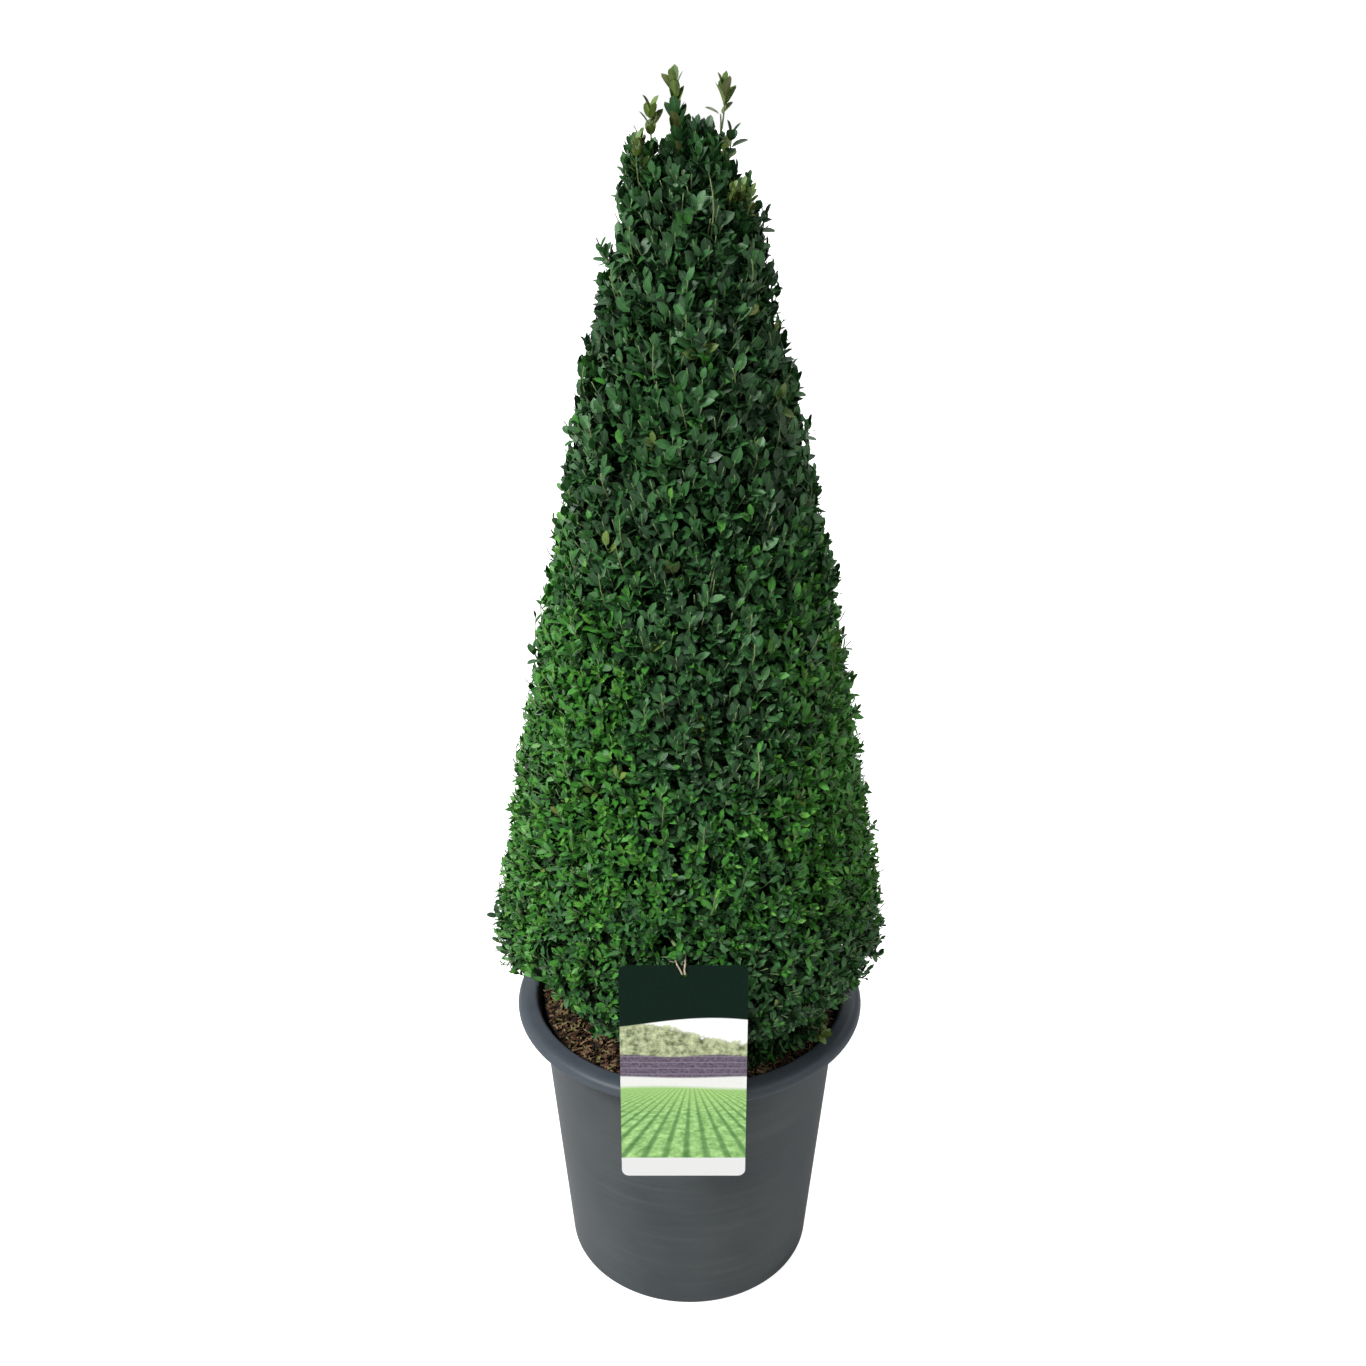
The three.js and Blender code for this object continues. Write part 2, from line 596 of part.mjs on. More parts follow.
// One strand of the tie: from the knot over the card's top edge, down its face, through
// the top of the hole and up behind it to the knot again.
function strandGeometry(strand) {
  const { edge, side } = strand;
  const matrix = cardMatrix();
  const onCard = (x, y, z) => new THREE.Vector3(x, y, z).applyMatrix4(matrix);
  const hole = -CARD_HOLE.drop;
  const knot = (dx) => new THREE.Vector3(CARD_TOP.x + dx, TIE_KNOT.y, TIE_KNOT.z);
  const clear = TIE_RADIUS + 0.5;
  const route = [
    knot(side * 1.5),
    onCard(edge, 3.5, -6),
    onCard(edge, 3, 0),
    onCard(edge * 0.6, -3, clear + 0.3),
    onCard(side * 1.4, hole + 1.2, clear + 0.3),
    onCard(side * 1.2, hole + 1.5, -CARD.thickness / 2),
    onCard(side * 1.2, hole + 1.2, -CARD.thickness - clear - 0.3),
    onCard(side * 1.4, -2, -7),
    knot(side * 0.8),
  ];
  const curve = new THREE.CatmullRomCurve3(route, false, "centripetal");
  const section = new THREE.Shape();
  section.absarc(0, 0, TIE_RADIUS, 0, 2 * Math.PI);
  return new THREE.ExtrudeGeometry(section, {
    steps: 16,
    curveSegments: 3,
    extrudePath: curve,
  });
}

function tieGeometry() {
  const knot = new THREE.SphereGeometry(TIE_KNOT.radius, 8, 6);
  knot.translate(CARD_TOP.x, TIE_KNOT.y, TIE_KNOT.z);
  const strands = TIE_STRANDS.map((strand) => solidOf(strandGeometry(strand)));
  return geometryOf(fuse([solidOf(knot), ...strands]));
}

// The twig that the tie's knot lies on.
function tieTwig() {
  const height = TIE_KNOT.z - TIE_TWIG.drop;
  const foot = new THREE.Vector3(CARD_TOP.x, TIE_TWIG.foot, height);
  const tip = new THREE.Vector3(CARD_TOP.x, TIE_TWIG.tip, height);
  return solidOf(twigGeometry(foot, tip, TIE_TWIG.radius));
}

function buildPlant() {
  const plant = new THREE.Group();
  plant.add(meshOf("pot", potGeometry(), COLOURS.pot));
  plant.add(meshOf("soil", soilGeometry(), COLOURS.soil));
  plant.add(meshOf("trunk", trunkGeometry(0), COLOURS.bark));
  const stem = solidOf(trunkGeometry(FIT));
  const grown = growFoliage();
  grown.get("foliage_lower").push(tieTwig());
  for (const mass of MASSES) {
    const solid = fuse([coreSolid(mass), ...grown.get(mass.name)], stem);
    const look = mass.name === "foliage_tip" ? COLOURS.shoot : COLOURS.leaf;
    plant.add(meshOf(mass.name, geometryOf(solid), look));
  }
  plant.add(meshOf("label_card", cardGeometry(), COLOURS.card));
  plant.add(meshOf("label_tie", tieGeometry(), COLOURS.tie));
  return plant;
}

export default buildPlant();
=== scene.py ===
import math
from typing import NamedTuple

import bmesh
import bpy
import numpy as np
from bpy.props import BoolProperty, FloatProperty, FloatVectorProperty, IntProperty, PointerProperty
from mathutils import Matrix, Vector
from numpy.random import default_rng


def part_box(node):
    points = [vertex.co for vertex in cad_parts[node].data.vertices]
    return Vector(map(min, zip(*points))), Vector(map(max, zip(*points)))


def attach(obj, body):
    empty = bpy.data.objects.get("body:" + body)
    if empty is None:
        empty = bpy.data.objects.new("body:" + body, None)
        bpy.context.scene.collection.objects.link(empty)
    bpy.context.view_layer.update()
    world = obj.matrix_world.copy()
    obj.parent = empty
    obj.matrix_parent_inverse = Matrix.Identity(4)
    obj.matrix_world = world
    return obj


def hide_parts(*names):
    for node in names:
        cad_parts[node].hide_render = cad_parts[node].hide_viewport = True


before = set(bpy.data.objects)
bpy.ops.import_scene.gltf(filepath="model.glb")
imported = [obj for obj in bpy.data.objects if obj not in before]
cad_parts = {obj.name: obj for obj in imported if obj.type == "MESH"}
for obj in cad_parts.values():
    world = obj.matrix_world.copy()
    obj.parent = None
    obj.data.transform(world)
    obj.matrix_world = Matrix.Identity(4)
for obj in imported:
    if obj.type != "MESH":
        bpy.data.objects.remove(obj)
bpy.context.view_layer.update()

bl_info = {
    "name": "Potted boxwood cone",
    "version": (1, 0, 0),
    "blender": (4, 5, 0),
    "location": "3D View > Sidebar > Topiary",
    "description": "Grows a clipped boxwood cone in its pot around a packed CAD model",
    "category": "Object",
}

GOLDEN_ANGLE = math.pi * (3.0 - math.sqrt(5.0))
BODY = "root"
POT_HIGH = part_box("pot")[1]
CARD_LOW, CARD_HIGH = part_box("label_card")
TRUNK_FOOT, TRUNK_TIP = (corner[2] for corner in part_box("trunk"))


# Settings


def length(name, description, default):
    """A size in metres that the user can change."""
    return FloatProperty(name=name, description=description, default=default, unit="LENGTH", precision=4)


def amount(name, description, default):
    """A plain number that the user can change."""
    return FloatProperty(name=name, description=description, default=default)


def whole(name, description, default, least=0):
    """A whole number, not under its least, that the user can change."""
    return IntProperty(name=name, description=description, default=default, min=least)


def degrees(name, description, default):
    """An angle that the user can change; its default is given in degrees."""
    return FloatProperty(name=name, description=description, default=math.radians(default), subtype="ANGLE")


def colour(name, description, default):
    """A plain base colour, linear, that the user can change."""
    return FloatVectorProperty(
        name=name, description=description, default=(*default, 1.0), size=4, subtype="COLOR",
        min=0.0, max=1.0,
    )


class PotSettings(bpy.types.PropertyGroup):
    """Sizes and colours of the pot and what fills it."""

    height: length("Height", "Height of the pot", POT_HIGH[2])
    rim_radius: length("Rim radius", "Outer radius of the rolled rim", POT_HIGH[0])
    soil_height: length("Soil height", "Height of the soil at the wall", 0.290)
    plastic: colour("Plastic", "Colour of the pot", (0.0435, 0.0520, 0.0560))
    dust: colour("Dust", "Colour of the dust on the pot", (0.20, 0.20, 0.19))
    soil: colour("Soil", "Colour of the damp soil", (0.018, 0.011, 0.007))
    chips: whole("Chips", "Pieces of bark on the soil", 4200)


class CrownSettings(bpy.types.PropertyGroup):
    """The shape of the clipped cone, and how its sprays are set."""

    foot_height: length("Foot height", "Where the foliage starts over the soil", 0.295)
    foot_radius: length("Foot radius", "Radius of the foliage at its foot", 0.110)
    widest_height: length("Widest height", "Height of the widest ring", 0.405)
    widest_radius: length("Widest radius", "Radius of the widest ring", 0.2015)
    top_height: length("Top height", "Height of the clipped top", 1.150)
    top_radius: length("Top radius", "Radius just under the clipped top", 0.052)
    bulge: length("Bulge", "How far the side swells from a straight cone", 0.007)
    sprays: whole("Sprays", "Leafy shoots over the cone", 6600, 10)
    long_shoots: whole("Long shoots", "Shoots that climb the side", 190, 1)
    branchlets: whole("Branchlets", "Woody twigs that carry the sprays", 900, 10)
    boughs: whole("Boughs", "Limbs on the trunk", 110, 4)
    rise: degrees("Rise", "How steeply the shoots turn up from the side", 42)
    seed: whole("Seed", "Seed of the growth", 20417)


class LeafSettings(bpy.types.PropertyGroup):
    """Size and colours of the leaves."""

    length_low: length("Length low", "Leaf length near the pot", 0.0122)
    length_high: length("Length high", "Leaf length near the top", 0.0176)
    width_share: amount("Width share", "Leaf width over its length", 0.46)
    deep: colour("Deep", "Old leaf under the outer ones", (0.0090, 0.040, 0.0135))
    middle: colour("Middle", "Grown leaf", (0.0178, 0.083, 0.0205))
    fresh: colour("Fresh", "This year's leaf", (0.031, 0.157, 0.017))
    young: colour("Young", "Leaf at a shoot's end", (0.064, 0.212, 0.024))
    faded: colour("Faded", "The odd leaf that has turned", (0.17, 0.20, 0.045))
    # Painted shade: this dark, dull colour stands in for the shade deep in the crown.
    shaded: colour("Shaded", "Dull old leaf deep in the crown", (0.0030, 0.0150, 0.0042))
    olive: colour("Olive", "Leaf on the shoots over the top", (0.084, 0.142, 0.024))
    tanned: colour("Tanned", "Leaf that the sun has browned", (0.058, 0.078, 0.018))


class WoodSettings(bpy.types.PropertyGroup):
    """Sizes and colours of the trunk, boughs and twigs."""

    stem_radius: length("Stem radius", "Radius of the trunk over its flare", 0.015)
    flare_radius: length("Flare radius", "Radius of the root flare at the soil", 0.030)
    tip_radius: length("Tip radius", "Radius of the trunk's top", 0.003)
    bark: colour("Bark", "Colour of the bark", (0.17, 0.12, 0.075))
    twig: colour("Twig", "Colour of a green twig", (0.125, 0.20, 0.082))
    pale_twig: colour("Pale twig", "Colour of a long shoot's stem", (0.155, 0.200, 0.082))


class CardSettings(bpy.types.PropertyGroup):
    """The plant card and its tie."""

    width: length("Width", "Width of the card", CARD_HIGH[0] - CARD_LOW[0])
    height: length("Height", "Height of the card", 0.228)
    thickness: length("Thickness", "Thickness of the card", 0.0008)
    lean: degrees("Lean", "How far the card leans back", 3.4)
    header: colour("Header", "Colour of the card's upper band", (0.0046, 0.0132, 0.0088))
    paper: colour("Paper", "Colour of the card's foot and back", (0.64, 0.64, 0.635))
    raffia: colour("Raffia", "Colour of the tie", (0.42, 0.37, 0.29))


class StageSettings(bpy.types.PropertyGroup):
    """Floor, light and camera."""

    floor: colour("Floor", "Colour of the floor", (0.50, 0.50, 0.50))
    floor_glow: amount("Floor glow", "Lift that turns the pale floor white", 0.82)
    daylight: amount("Daylight", "Strength of the light from all round", 0.12)
    key: amount("Key", "Strength of the main light", 5.2)
    camera_aside: length("Camera aside", "Camera to the right of the pot's middle", -0.007)
    camera_distance: length("Camera distance", "Camera in front of the pot's middle", 1.3132)
    camera_height: length("Camera height", "Camera over the floor", 1.2378)
    camera_pitch: degrees("Camera pitch", "How far the camera looks down", 23.7)
    lens: amount("Lens", "Focal length on a 36 mm sensor, in mm", 39.32)
    show_floor: BoolProperty(name="Floor", description="Make the pale floor", default=True)


SETTINGS = {
    "topiary_pot": PotSettings,
    "topiary_crown": CrownSettings,
    "topiary_leaf": LeafSettings,
    "topiary_wood": WoodSettings,
    "topiary_card": CardSettings,
    "topiary_stage": StageSettings,
}


# Small maths on whole arrays


def unit(vectors):
    """Each vector divided by its own length."""
    size = np.linalg.norm(vectors, axis=-1, keepdims=True)
    return vectors / np.maximum(size, 1e-9)


def ease(value, low, high):
    """Smooth step: 0 under low, 1 over high, 3t squared less 2t cubed between."""
    t = np.clip((value - low) / (high - low), 0.0, 1.0)
    return t * t * (3.0 - 2.0 * t)


UP = np.array([0, 0, 1.0])


def polar(radius, angle, height):
    """Points (radius cos angle, radius sin angle, height), for arrays that fit each other."""
    return np.stack(np.broadcast_arrays(radius * np.cos(angle), radius * np.sin(angle), height), -1)


def once_round(steps):
    """Even angles once round, from 0."""
    return math.tau * np.arange(steps) / steps


def square_to(faces, headings):
    """Each face direction less its part along the heading, as a unit vector."""
    return unit(faces - (faces * headings).sum(-1, keepdims=True) * headings)


def about_stem(turn, side, over):
    """Directions square to a stem, cos turn side + sin turn over, for the turns of each pair."""
    return np.cos(turn)[..., None] * side[..., None, :] + np.sin(turn)[..., None] * over[..., None, :]


def ripple(x, y, seed):
    """Soft unevenness from about -1 to 1: seven sine waves over (x, y), each with its own random heading."""
    waves = 7
    rng = default_rng(seed)
    total = np.zeros(np.broadcast(x, y).shape)
    for _ in range(waves):
        turn = rng.uniform(0, math.tau)
        pitch = rng.uniform(0.6, 1.9)
        phase = rng.uniform(0, math.tau)
        total = total + np.sin(pitch * (x * math.cos(turn) + y * math.sin(turn)) * math.tau + phase)
    return total / waves ** 0.5 / 1.2


def bezier(p0, p1, p2, p3, t):
    """Points on cubic curves: the four control points weighted by the cubic Bernstein terms of t.

    The control points are (n, 3) and t is (n, k) or (k,); the points come back as (n, k, 3).
    """
    t = np.broadcast_to(t, (len(p0), np.shape(t)[-1]))[..., None]
    s = 1.0 - t
    p0, p1, p2, p3 = (point[:, None] for point in (p0, p1, p2, p3))
    return s ** 3 * p0 + 3 * s * s * t * p1 + 3 * s * t * t * p2 + t ** 3 * p3


def bezier_heading(p0, p1, p2, p3, t):
    """Unit tangents of the same cubic curves: the derivative of the Bernstein form."""
    t = np.broadcast_to(t, (len(p0), np.shape(t)[-1]))[..., None]
    s = 1.0 - t
    slope = s * s * (p1 - p0)[:, None] + 2 * s * t * (p2 - p1)[:, None] + t * t * (p3 - p2)[:, None]
    return unit(slope)


def nearest(points, places):
    """For each of points the index of the closest of places, from squared distances, 500 points at once."""
    found = np.empty(len(points), dtype=np.int64)
    step = 500
    for start in range(0, len(points), step):
        gap = points[start:start + step, None] - places[None]
        found[start:start + step] = np.argmin((gap * gap).sum(-1), axis=1)
    return found


# Mesh building


def new_object(name, data):
    """An object of this mesh, light or camera, linked into the scene."""
    made = bpy.data.objects.new(name, data)
    bpy.context.collection.objects.link(made)
    return made


class Shape:
    """Points, faces, finishes and map coordinates of one piece, gathered before it becomes a mesh."""

    def __init__(self):
        """Starts empty."""
        self.points, self.quads, self.tris = [], [], []
        self.quad_finish, self.tri_finish, self.map = [], [], []
        self.count = 0

    def add(self, points, quads=None, tris=None, placed=None, quad_finish=0, tri_finish=0):
        """Adds points, quads, triangles and map places, and a finish number for each face or for all."""
        quads = np.zeros((0, 4), int) if quads is None else np.asarray(quads)
        tris = np.zeros((0, 3), int) if tris is None else np.asarray(tris)
        self.points.append(points)
        self.quads.append(quads + self.count)
        self.tris.append(tris + self.count)
        self.quad_finish.append(np.broadcast_to(quad_finish, (len(quads),)))
        self.tri_finish.append(np.broadcast_to(tri_finish, (len(tris),)))
        self.map.append(np.zeros((len(points), 2)) if placed is None else placed)
        self.count += len(points)

    def piece(self, name, finishes, slot, replaced=(), smooth=True):
        """Makes the mesh object, gives it its finishes, and sets it on the CAD body."""
        points = np.concatenate(self.points)
        quads, tris = np.concatenate(self.quads), np.concatenate(self.tris)
        corners = np.concatenate([quads.ravel(), tris.ravel()]).astype(np.int32)
        starts = np.concatenate([np.arange(len(quads)) * 4, len(quads) * 4 + np.arange(len(tris)) * 3])
        mesh = bpy.data.meshes.new(name)
        mesh.vertices.add(len(points))
        mesh.vertices.foreach_set("co", points.astype(np.float32).ravel())
        mesh.loops.add(len(corners))
        mesh.loops.foreach_set("vertex_index", corners)
        mesh.polygons.add(len(starts))
        mesh.polygons.foreach_set("loop_start", starts.astype(np.int32))
        finish = np.concatenate(self.quad_finish + self.tri_finish).astype(np.int32)
        mesh.polygons.foreach_set("material_index", finish)
        mesh.polygons.foreach_set("use_smooth", np.full(len(starts), smooth))
        layer = mesh.uv_layers.new(name="surface")
        layer.data.foreach_set("uv", np.concatenate(self.map)[corners].astype(np.float32).ravel())
        mesh.update(calc_edges=True)
        if mesh.validate():
            raise RuntimeError(f"{name} has faces that Blender had to mend")
        made = new_object(name, mesh)
        for finish in finishes:
            made.data.materials.append(finish)
        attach(made, BODY)
        if replaced:
            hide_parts(*replaced)
        return made


def grid_quads(rows, columns, wrap=False):
    """Quads of a grid of points laid row by row; wrap joins the last column to the first."""
    across = columns if wrap else columns - 1
    row, column = np.meshgrid(np.arange(rows - 1), np.arange(across), indexing="ij")
    here = row * columns + column
    beside = row * columns + (column + 1) % columns
    return np.stack([here, beside, beside + columns, here + columns], -1).reshape(-1, 4)


def end_fans(rows, columns, wrap=False):
    """Triangles from a grid's first and last row to two poles, whose points follow the grid's."""
    here = np.arange(columns if wrap else columns - 1)
    beside = (here + 1) % columns
    last = (rows - 1) * columns
    pole = np.full(len(here), rows * columns)
    foot = np.stack([beside, here, pole], -1)
    tip = np.stack([last + here, last + beside, pole + 1], -1)
    return np.concatenate([foot, tip])


def many(faces, copies, points_each):
    """The faces of one shape repeated for copies of it whose points follow each other."""
    return (faces[None] + (np.arange(copies) * points_each)[:, None, None]).reshape(-1, faces.shape[1])


def stems(paths, radii, sides, flat=1.0, facing=None):
    """Round or flattened stems along many paths at once.

    A point of the wall is path + radius (cos a across + flat sin a over), where along is the path's own
    direction, across is square to along and to a fixed direction, and over is square to both. Each end
    runs to a pole on the path. The paths are (n, k, 3) and the radii (n, k). Points, quads, triangles
    and map places come back in the order in which Shape.add takes them.
    """
    n, k, _ = paths.shape
    along = unit(np.gradient(paths, axis=1))
    if facing is None:
        facing = np.eye(3)[np.argmin(np.abs(along.mean(1)), axis=1)]
    across = unit(np.cross(along, np.broadcast_to(facing, (n, 3))[:, None]))
    over = np.cross(along, across)
    turn = once_round(sides)
    wall = np.cos(turn)[:, None] * across[:, :, None] + flat * np.sin(turn)[:, None] * over[:, :, None]
    rings = paths[:, :, None] + radii[:, :, None, None] * wall
    points = np.concatenate([rings.reshape(n, k * sides, 3), paths[:, :1], paths[:, -1:]], axis=1)
    quads, tris = grid_quads(k, sides, wrap=True), end_fans(k, sides, wrap=True)
    each = k * sides + 2
    placed = np.zeros((n, each, 2))
    placed[:, :k * sides, 0] = np.tile(np.arange(sides) / sides, k)
    placed[:, :k * sides, 1] = np.repeat(np.linspace(0, 1, k), sides)
    placed[:, -1, 1] = 1
    return points.reshape(-1, 3), many(quads, n, each), many(tris, n, each), placed.reshape(-1, 2)


def leaf_pattern(rows, columns):
    """One leaf on a grid: u from -1 to 1 across, v from 0 to 1 along, poles at both ends.

    Its outline is a rounded oval, half width (4 v (1 - v)) to the power 0.55.
    """
    v = (np.arange(rows) + 0.75) / (rows + 0.5)
    u = np.linspace(-1, 1, columns)
    half = (4 * v * (1 - v)) ** 0.55
    across = np.concatenate([(half[:, None] * u).ravel(), [0, 0]])
    ridge = np.concatenate([(half[:, None] * np.abs(u)).ravel(), [0, 0]])
    along = np.concatenate([np.repeat(v, columns), [0, 1]])
    placed = np.stack([across * 0.5 + 0.5, along], -1)
    return across, along, ridge, grid_quads(rows, columns), end_fans(rows, columns), placed


def leaves(own, pattern):
    """Leaves as whole arrays, from their base, heading, face, size, width, fold, bend and finish.

    A point is base + v length heading + u width side + h face, where side is heading x face and
    h = fold |u| width - bend v squared length: a shallow V along the midrib whose tip bends back.
    They come back in the order in which Shape.add takes them, with the leaf's finish on its faces.
    """
    across, along, ridge, quads, tris, placed = pattern
    heading, face = own["heading"], own["face"]
    size, width = own["size"][:, None], own["width"][:, None]
    side = np.cross(heading, face)
    lift = own["fold"][:, None] * ridge * width - own["bend"][:, None] * along ** 2 * size
    points = (
        own["base"][:, None]
        + (along * size)[..., None] * heading[:, None]
        + (across * width)[..., None] * side[:, None]
        + lift[..., None] * face[:, None]
    )
    n, each = len(points), len(across)
    return (
        points.reshape(-1, 3), many(quads, n, each), many(tris, n, each), np.tile(placed, (n, 1)),
        np.repeat(own["finish"], len(quads)), np.repeat(own["finish"], len(tris)),
    )


# Where the crown may grow


def cone_radius(z, crown):
    """Radius of the clipped cone at a height, by the CAD source's rule.

    Under the widest ring a quarter ellipse runs in to the foot; over it the radius falls in a line to
    the top with a swell of one sine, is 3 mm less near the top, and the last 50 mm round off.
    """
    drop = np.clip((crown.widest_height - z) / (crown.widest_height - crown.foot_height), 0, 1)
    low = crown.foot_radius + (crown.widest_radius - crown.foot_radius) * np.sqrt(1 - drop ** 2)
    t = np.clip((z - crown.widest_height) / (crown.top_height - crown.widest_height), 0, 1)
    side = crown.widest_radius + (crown.top_radius - crown.widest_radius) * t
    side = side + crown.bulge * np.sin(math.pi * t)
    cap = np.clip((z - crown.top_height + 0.050) / 0.050, 0, 1)
    high = side * np.sqrt(1 - 0.8 * cap ** 2) - 0.003 * ease(z, 1.02, 1.10)
    return np.where(z < crown.widest_height, low, high)


def cone_middle(z):
    """How far the clipped cone's middle stands off the pot's at a height, along X."""
    high = ease(z, 0.84, 0.94) * (1 - ease(z, 1.03, 1.08))
    return -0.003 * (1 - ease(z, 0.33, 0.46)) - 0.004 * high - 0.007 * ease(z, 1.08, 1.13)


def bay_at(angle, middle, half_width):
    """A soft bay round the trunk: cosine squared of the angle from its middle, zero past its half width."""
    turn = np.abs((angle - math.radians(middle) + math.pi) % math.tau - math.pi)
    return np.cos(np.minimum(turn / math.radians(half_width), 1) * math.pi / 2) ** 2


def floor_of_foliage(points):
    """Lowest height that leaves may reach: over the rim outside, over the litter inside.

    Past the rim the underside rises by 0.8 of the way out. Along the front it slopes up from inside the
    rim, little at the front right. A bay at the front left and a smaller one at the right lift it further
    and show the litter.
    """
    radius = np.hypot(points[..., 0], points[..., 1])
    angle = np.arctan2(points[..., 1], points[..., 0])
    left, right = bay_at(angle, 216, 62), bay_at(angle, 344, 17)
    front = ease(-np.sin(angle), 0.12, 0.55) * (1 - 0.75 * bay_at(angle, 306, 38))
    slope = np.maximum(radius - 0.138 + 0.022 * left, 0) * 0.95 * front
    over_litter, over_rim, mouth = 0.2986, 0.3155, 0.150
    inner = over_litter + (0.030 * left + 0.024 * right) * ease(radius, 0.07, 0.14) + slope
    outer = over_rim + np.maximum(radius - mouth, 0) * 0.8 + 0.026 * ease(-np.sin(angle), 0.0, 0.25)
    outer = outer + 0.014 * bay_at(angle, 356, 50) + 0.010 * bay_at(angle, 184, 36)
    return np.where(radius > mouth - 0.001, np.maximum(inner, outer), inner)


CARD_TOP = np.array([(CARD_LOW[0] + CARD_HIGH[0]) / 2, -0.193, 0.470])


def card_axes(card):
    """The card's own axes as rows: across, up the card, and out of its front."""
    lean = math.pi / 2 - card.lean
    return np.array([[1, 0, 0], [0, math.cos(lean), math.sin(lean)], [0, -math.sin(lean), math.cos(lean)]])


def clear_of_card(points, card):
    """True where a point is beside or behind the card and off its tie."""
    margin, gap_behind, tie_room = 0.003, 0.0015, 0.0030
    tie_place = CARD_TOP + np.array([-0.003, 0.0, -0.001])
    local = (points - CARD_TOP) @ card_axes(card).T
    beside = (np.abs(local[..., 0]) > card.width / 2 + margin) | (local[..., 1] > margin)
    beside = beside | (local[..., 1] < -card.height - margin)
    behind = local[..., 2] < -card.thickness - gap_behind
    return (beside | behind) & (np.linalg.norm(points - tie_place, axis=-1) > tie_room)


def has_room(points, crown, card, overhang):
    """True for each leaf whose every tested point lies in the cone, over the floor and off the card."""
    z = points[..., 2]
    radius = np.hypot(points[..., 0] - cone_middle(z), points[..., 1])
    reach = cone_radius(np.minimum(z, crown.top_height - 0.02), crown) + overhang
    top = z < crown.top_height + 0.012 - 0.25 * radius
    room = (radius < reach) & (z > floor_of_foliage(points)) & clear_of_card(points, card) & top
    return room.all(axis=-1)


def ends_with_room(ends, heading, crown, card):
    """True for each shoot whose end, and the point 6 mm before it, have room up to 14 mm over the cone."""
    tested = np.stack([ends + heading * 0.001, ends - heading * 0.006], 1)
    return has_room(tested, crown, card, 0.014)


def over_cone(count, crown, seed, wander):
    """Points spread over the clipped cone with its normals, closest near the pot and 0.7 as close high up.

    The side is a line of radius over height, carried on to the middle of the top. Point i takes the
    place where the weighted area from the foot is (i + 1/2) / count of the whole, and the angle i times
    the golden angle.
    """
    z = np.linspace(crown.foot_height, crown.top_height, 400)
    r = cone_radius(z, crown)
    cap = np.linspace(1, 0, 20)[1:]
    r = np.concatenate([r, r[-1] * cap])
    z = np.concatenate([z, crown.top_height + 0.006 * np.sqrt(1 - cap ** 2)])
    steps = np.hypot(np.diff(r), np.diff(z))
    closeness = 1 - 0.30 * ease(z[1:], 0.48, 1.02)
    area = np.concatenate([[0], np.cumsum(steps * (r[1:] + r[:-1]) * closeness)])
    share = (np.arange(count) + 0.5) / count * area[-1]
    slope_r, slope_z = np.gradient(r), np.gradient(z)
    rng = default_rng(seed)
    angle = np.arange(count) * GOLDEN_ANGLE + rng.uniform(-wander, wander, count)
    radius, height = np.interp(share, area, r), np.interp(share, area, z)
    out, up = np.interp(share, area, slope_z), -np.interp(share, area, slope_r)
    points = np.stack([radius * np.cos(angle) + cone_middle(height), radius * np.sin(angle), height], -1)
    return points, unit(polar(out, angle, up))


def trunk_middle(z):
    """Middle line of the trunk, by the CAD source's rule: a small sway, one arch times two slow waves."""
    t = np.clip((z - TRUNK_FOOT) / (TRUNK_TIP - TRUNK_FOOT), 0, 1)
    sway = 0.006 * np.sin(math.pi * t)
    return np.stack([sway * np.sin(4.2 * t), sway * np.cos(5.1 * t + 0.6), z + 0 * t], -1)


FLARE_HEIGHT = 0.070


def trunk_radius(z, wood):
    """Radius of the trunk: a line from stem to tip, and a flare that eases out over its height."""
    flare = 1 - ease(z, TRUNK_FOOT, TRUNK_FOOT + FLARE_HEIGHT)
    share = (z - TRUNK_FOOT) / (TRUNK_TIP - TRUNK_FOOT)
    line = wood.stem_radius + (wood.tip_radius - wood.stem_radius) * share
    return line + (wood.flare_radius - wood.stem_radius) * flare ** 2


TIERS = ("foliage_skirt", "foliage_lower", "foliage_middle", "foliage_upper", "foliage_tip")
TIER_HEIGHTS = (0.318, 0.545, 0.790, 1.070)


def tier_of(points):
    """Which mass of foliage a point belongs to, by the cones that divide them: height less 0.6 radius."""
    return np.searchsorted(TIER_HEIGHTS, points[:, 2] - 0.6 * np.hypot(points[:, 0], points[:, 1]))


# Growth: boughs, branchlets and sprays, each from the nearest point of the one before

KEPT_GROWTH = {}


def grow(scene):
    """Works out the whole crown once: the curves of boughs, branchlets and sprays, and every leaf."""
    if KEPT_GROWTH:
        return KEPT_GROWTH
    crown, leaf, card = scene.topiary_crown, scene.topiary_leaf, scene.topiary_card
    boughs = grow_boughs(crown)
    branchlets = grow_branchlets(crown, boughs)
    short = grow_sprays(crown, card, branchlets)
    climbing = grow_long_shoots(crown, card, branchlets)
    sprays = {name: np.concatenate([short[name], climbing[name]]) for name in short if name != "curve"}
    sprays["curve"] = [np.concatenate(both) for both in zip(short["curve"], climbing["curve"])]
    KEPT_GROWTH.update(boughs=boughs, branchlets=branchlets, sprays=sprays)
    KEPT_GROWTH["leaves"] = grow_leaves(crown, leaf, card, sprays)
    KEPT_GROWTH["inner"] = grow_inner_leaves(crown, card, branchlets)
    return KEPT_GROWTH


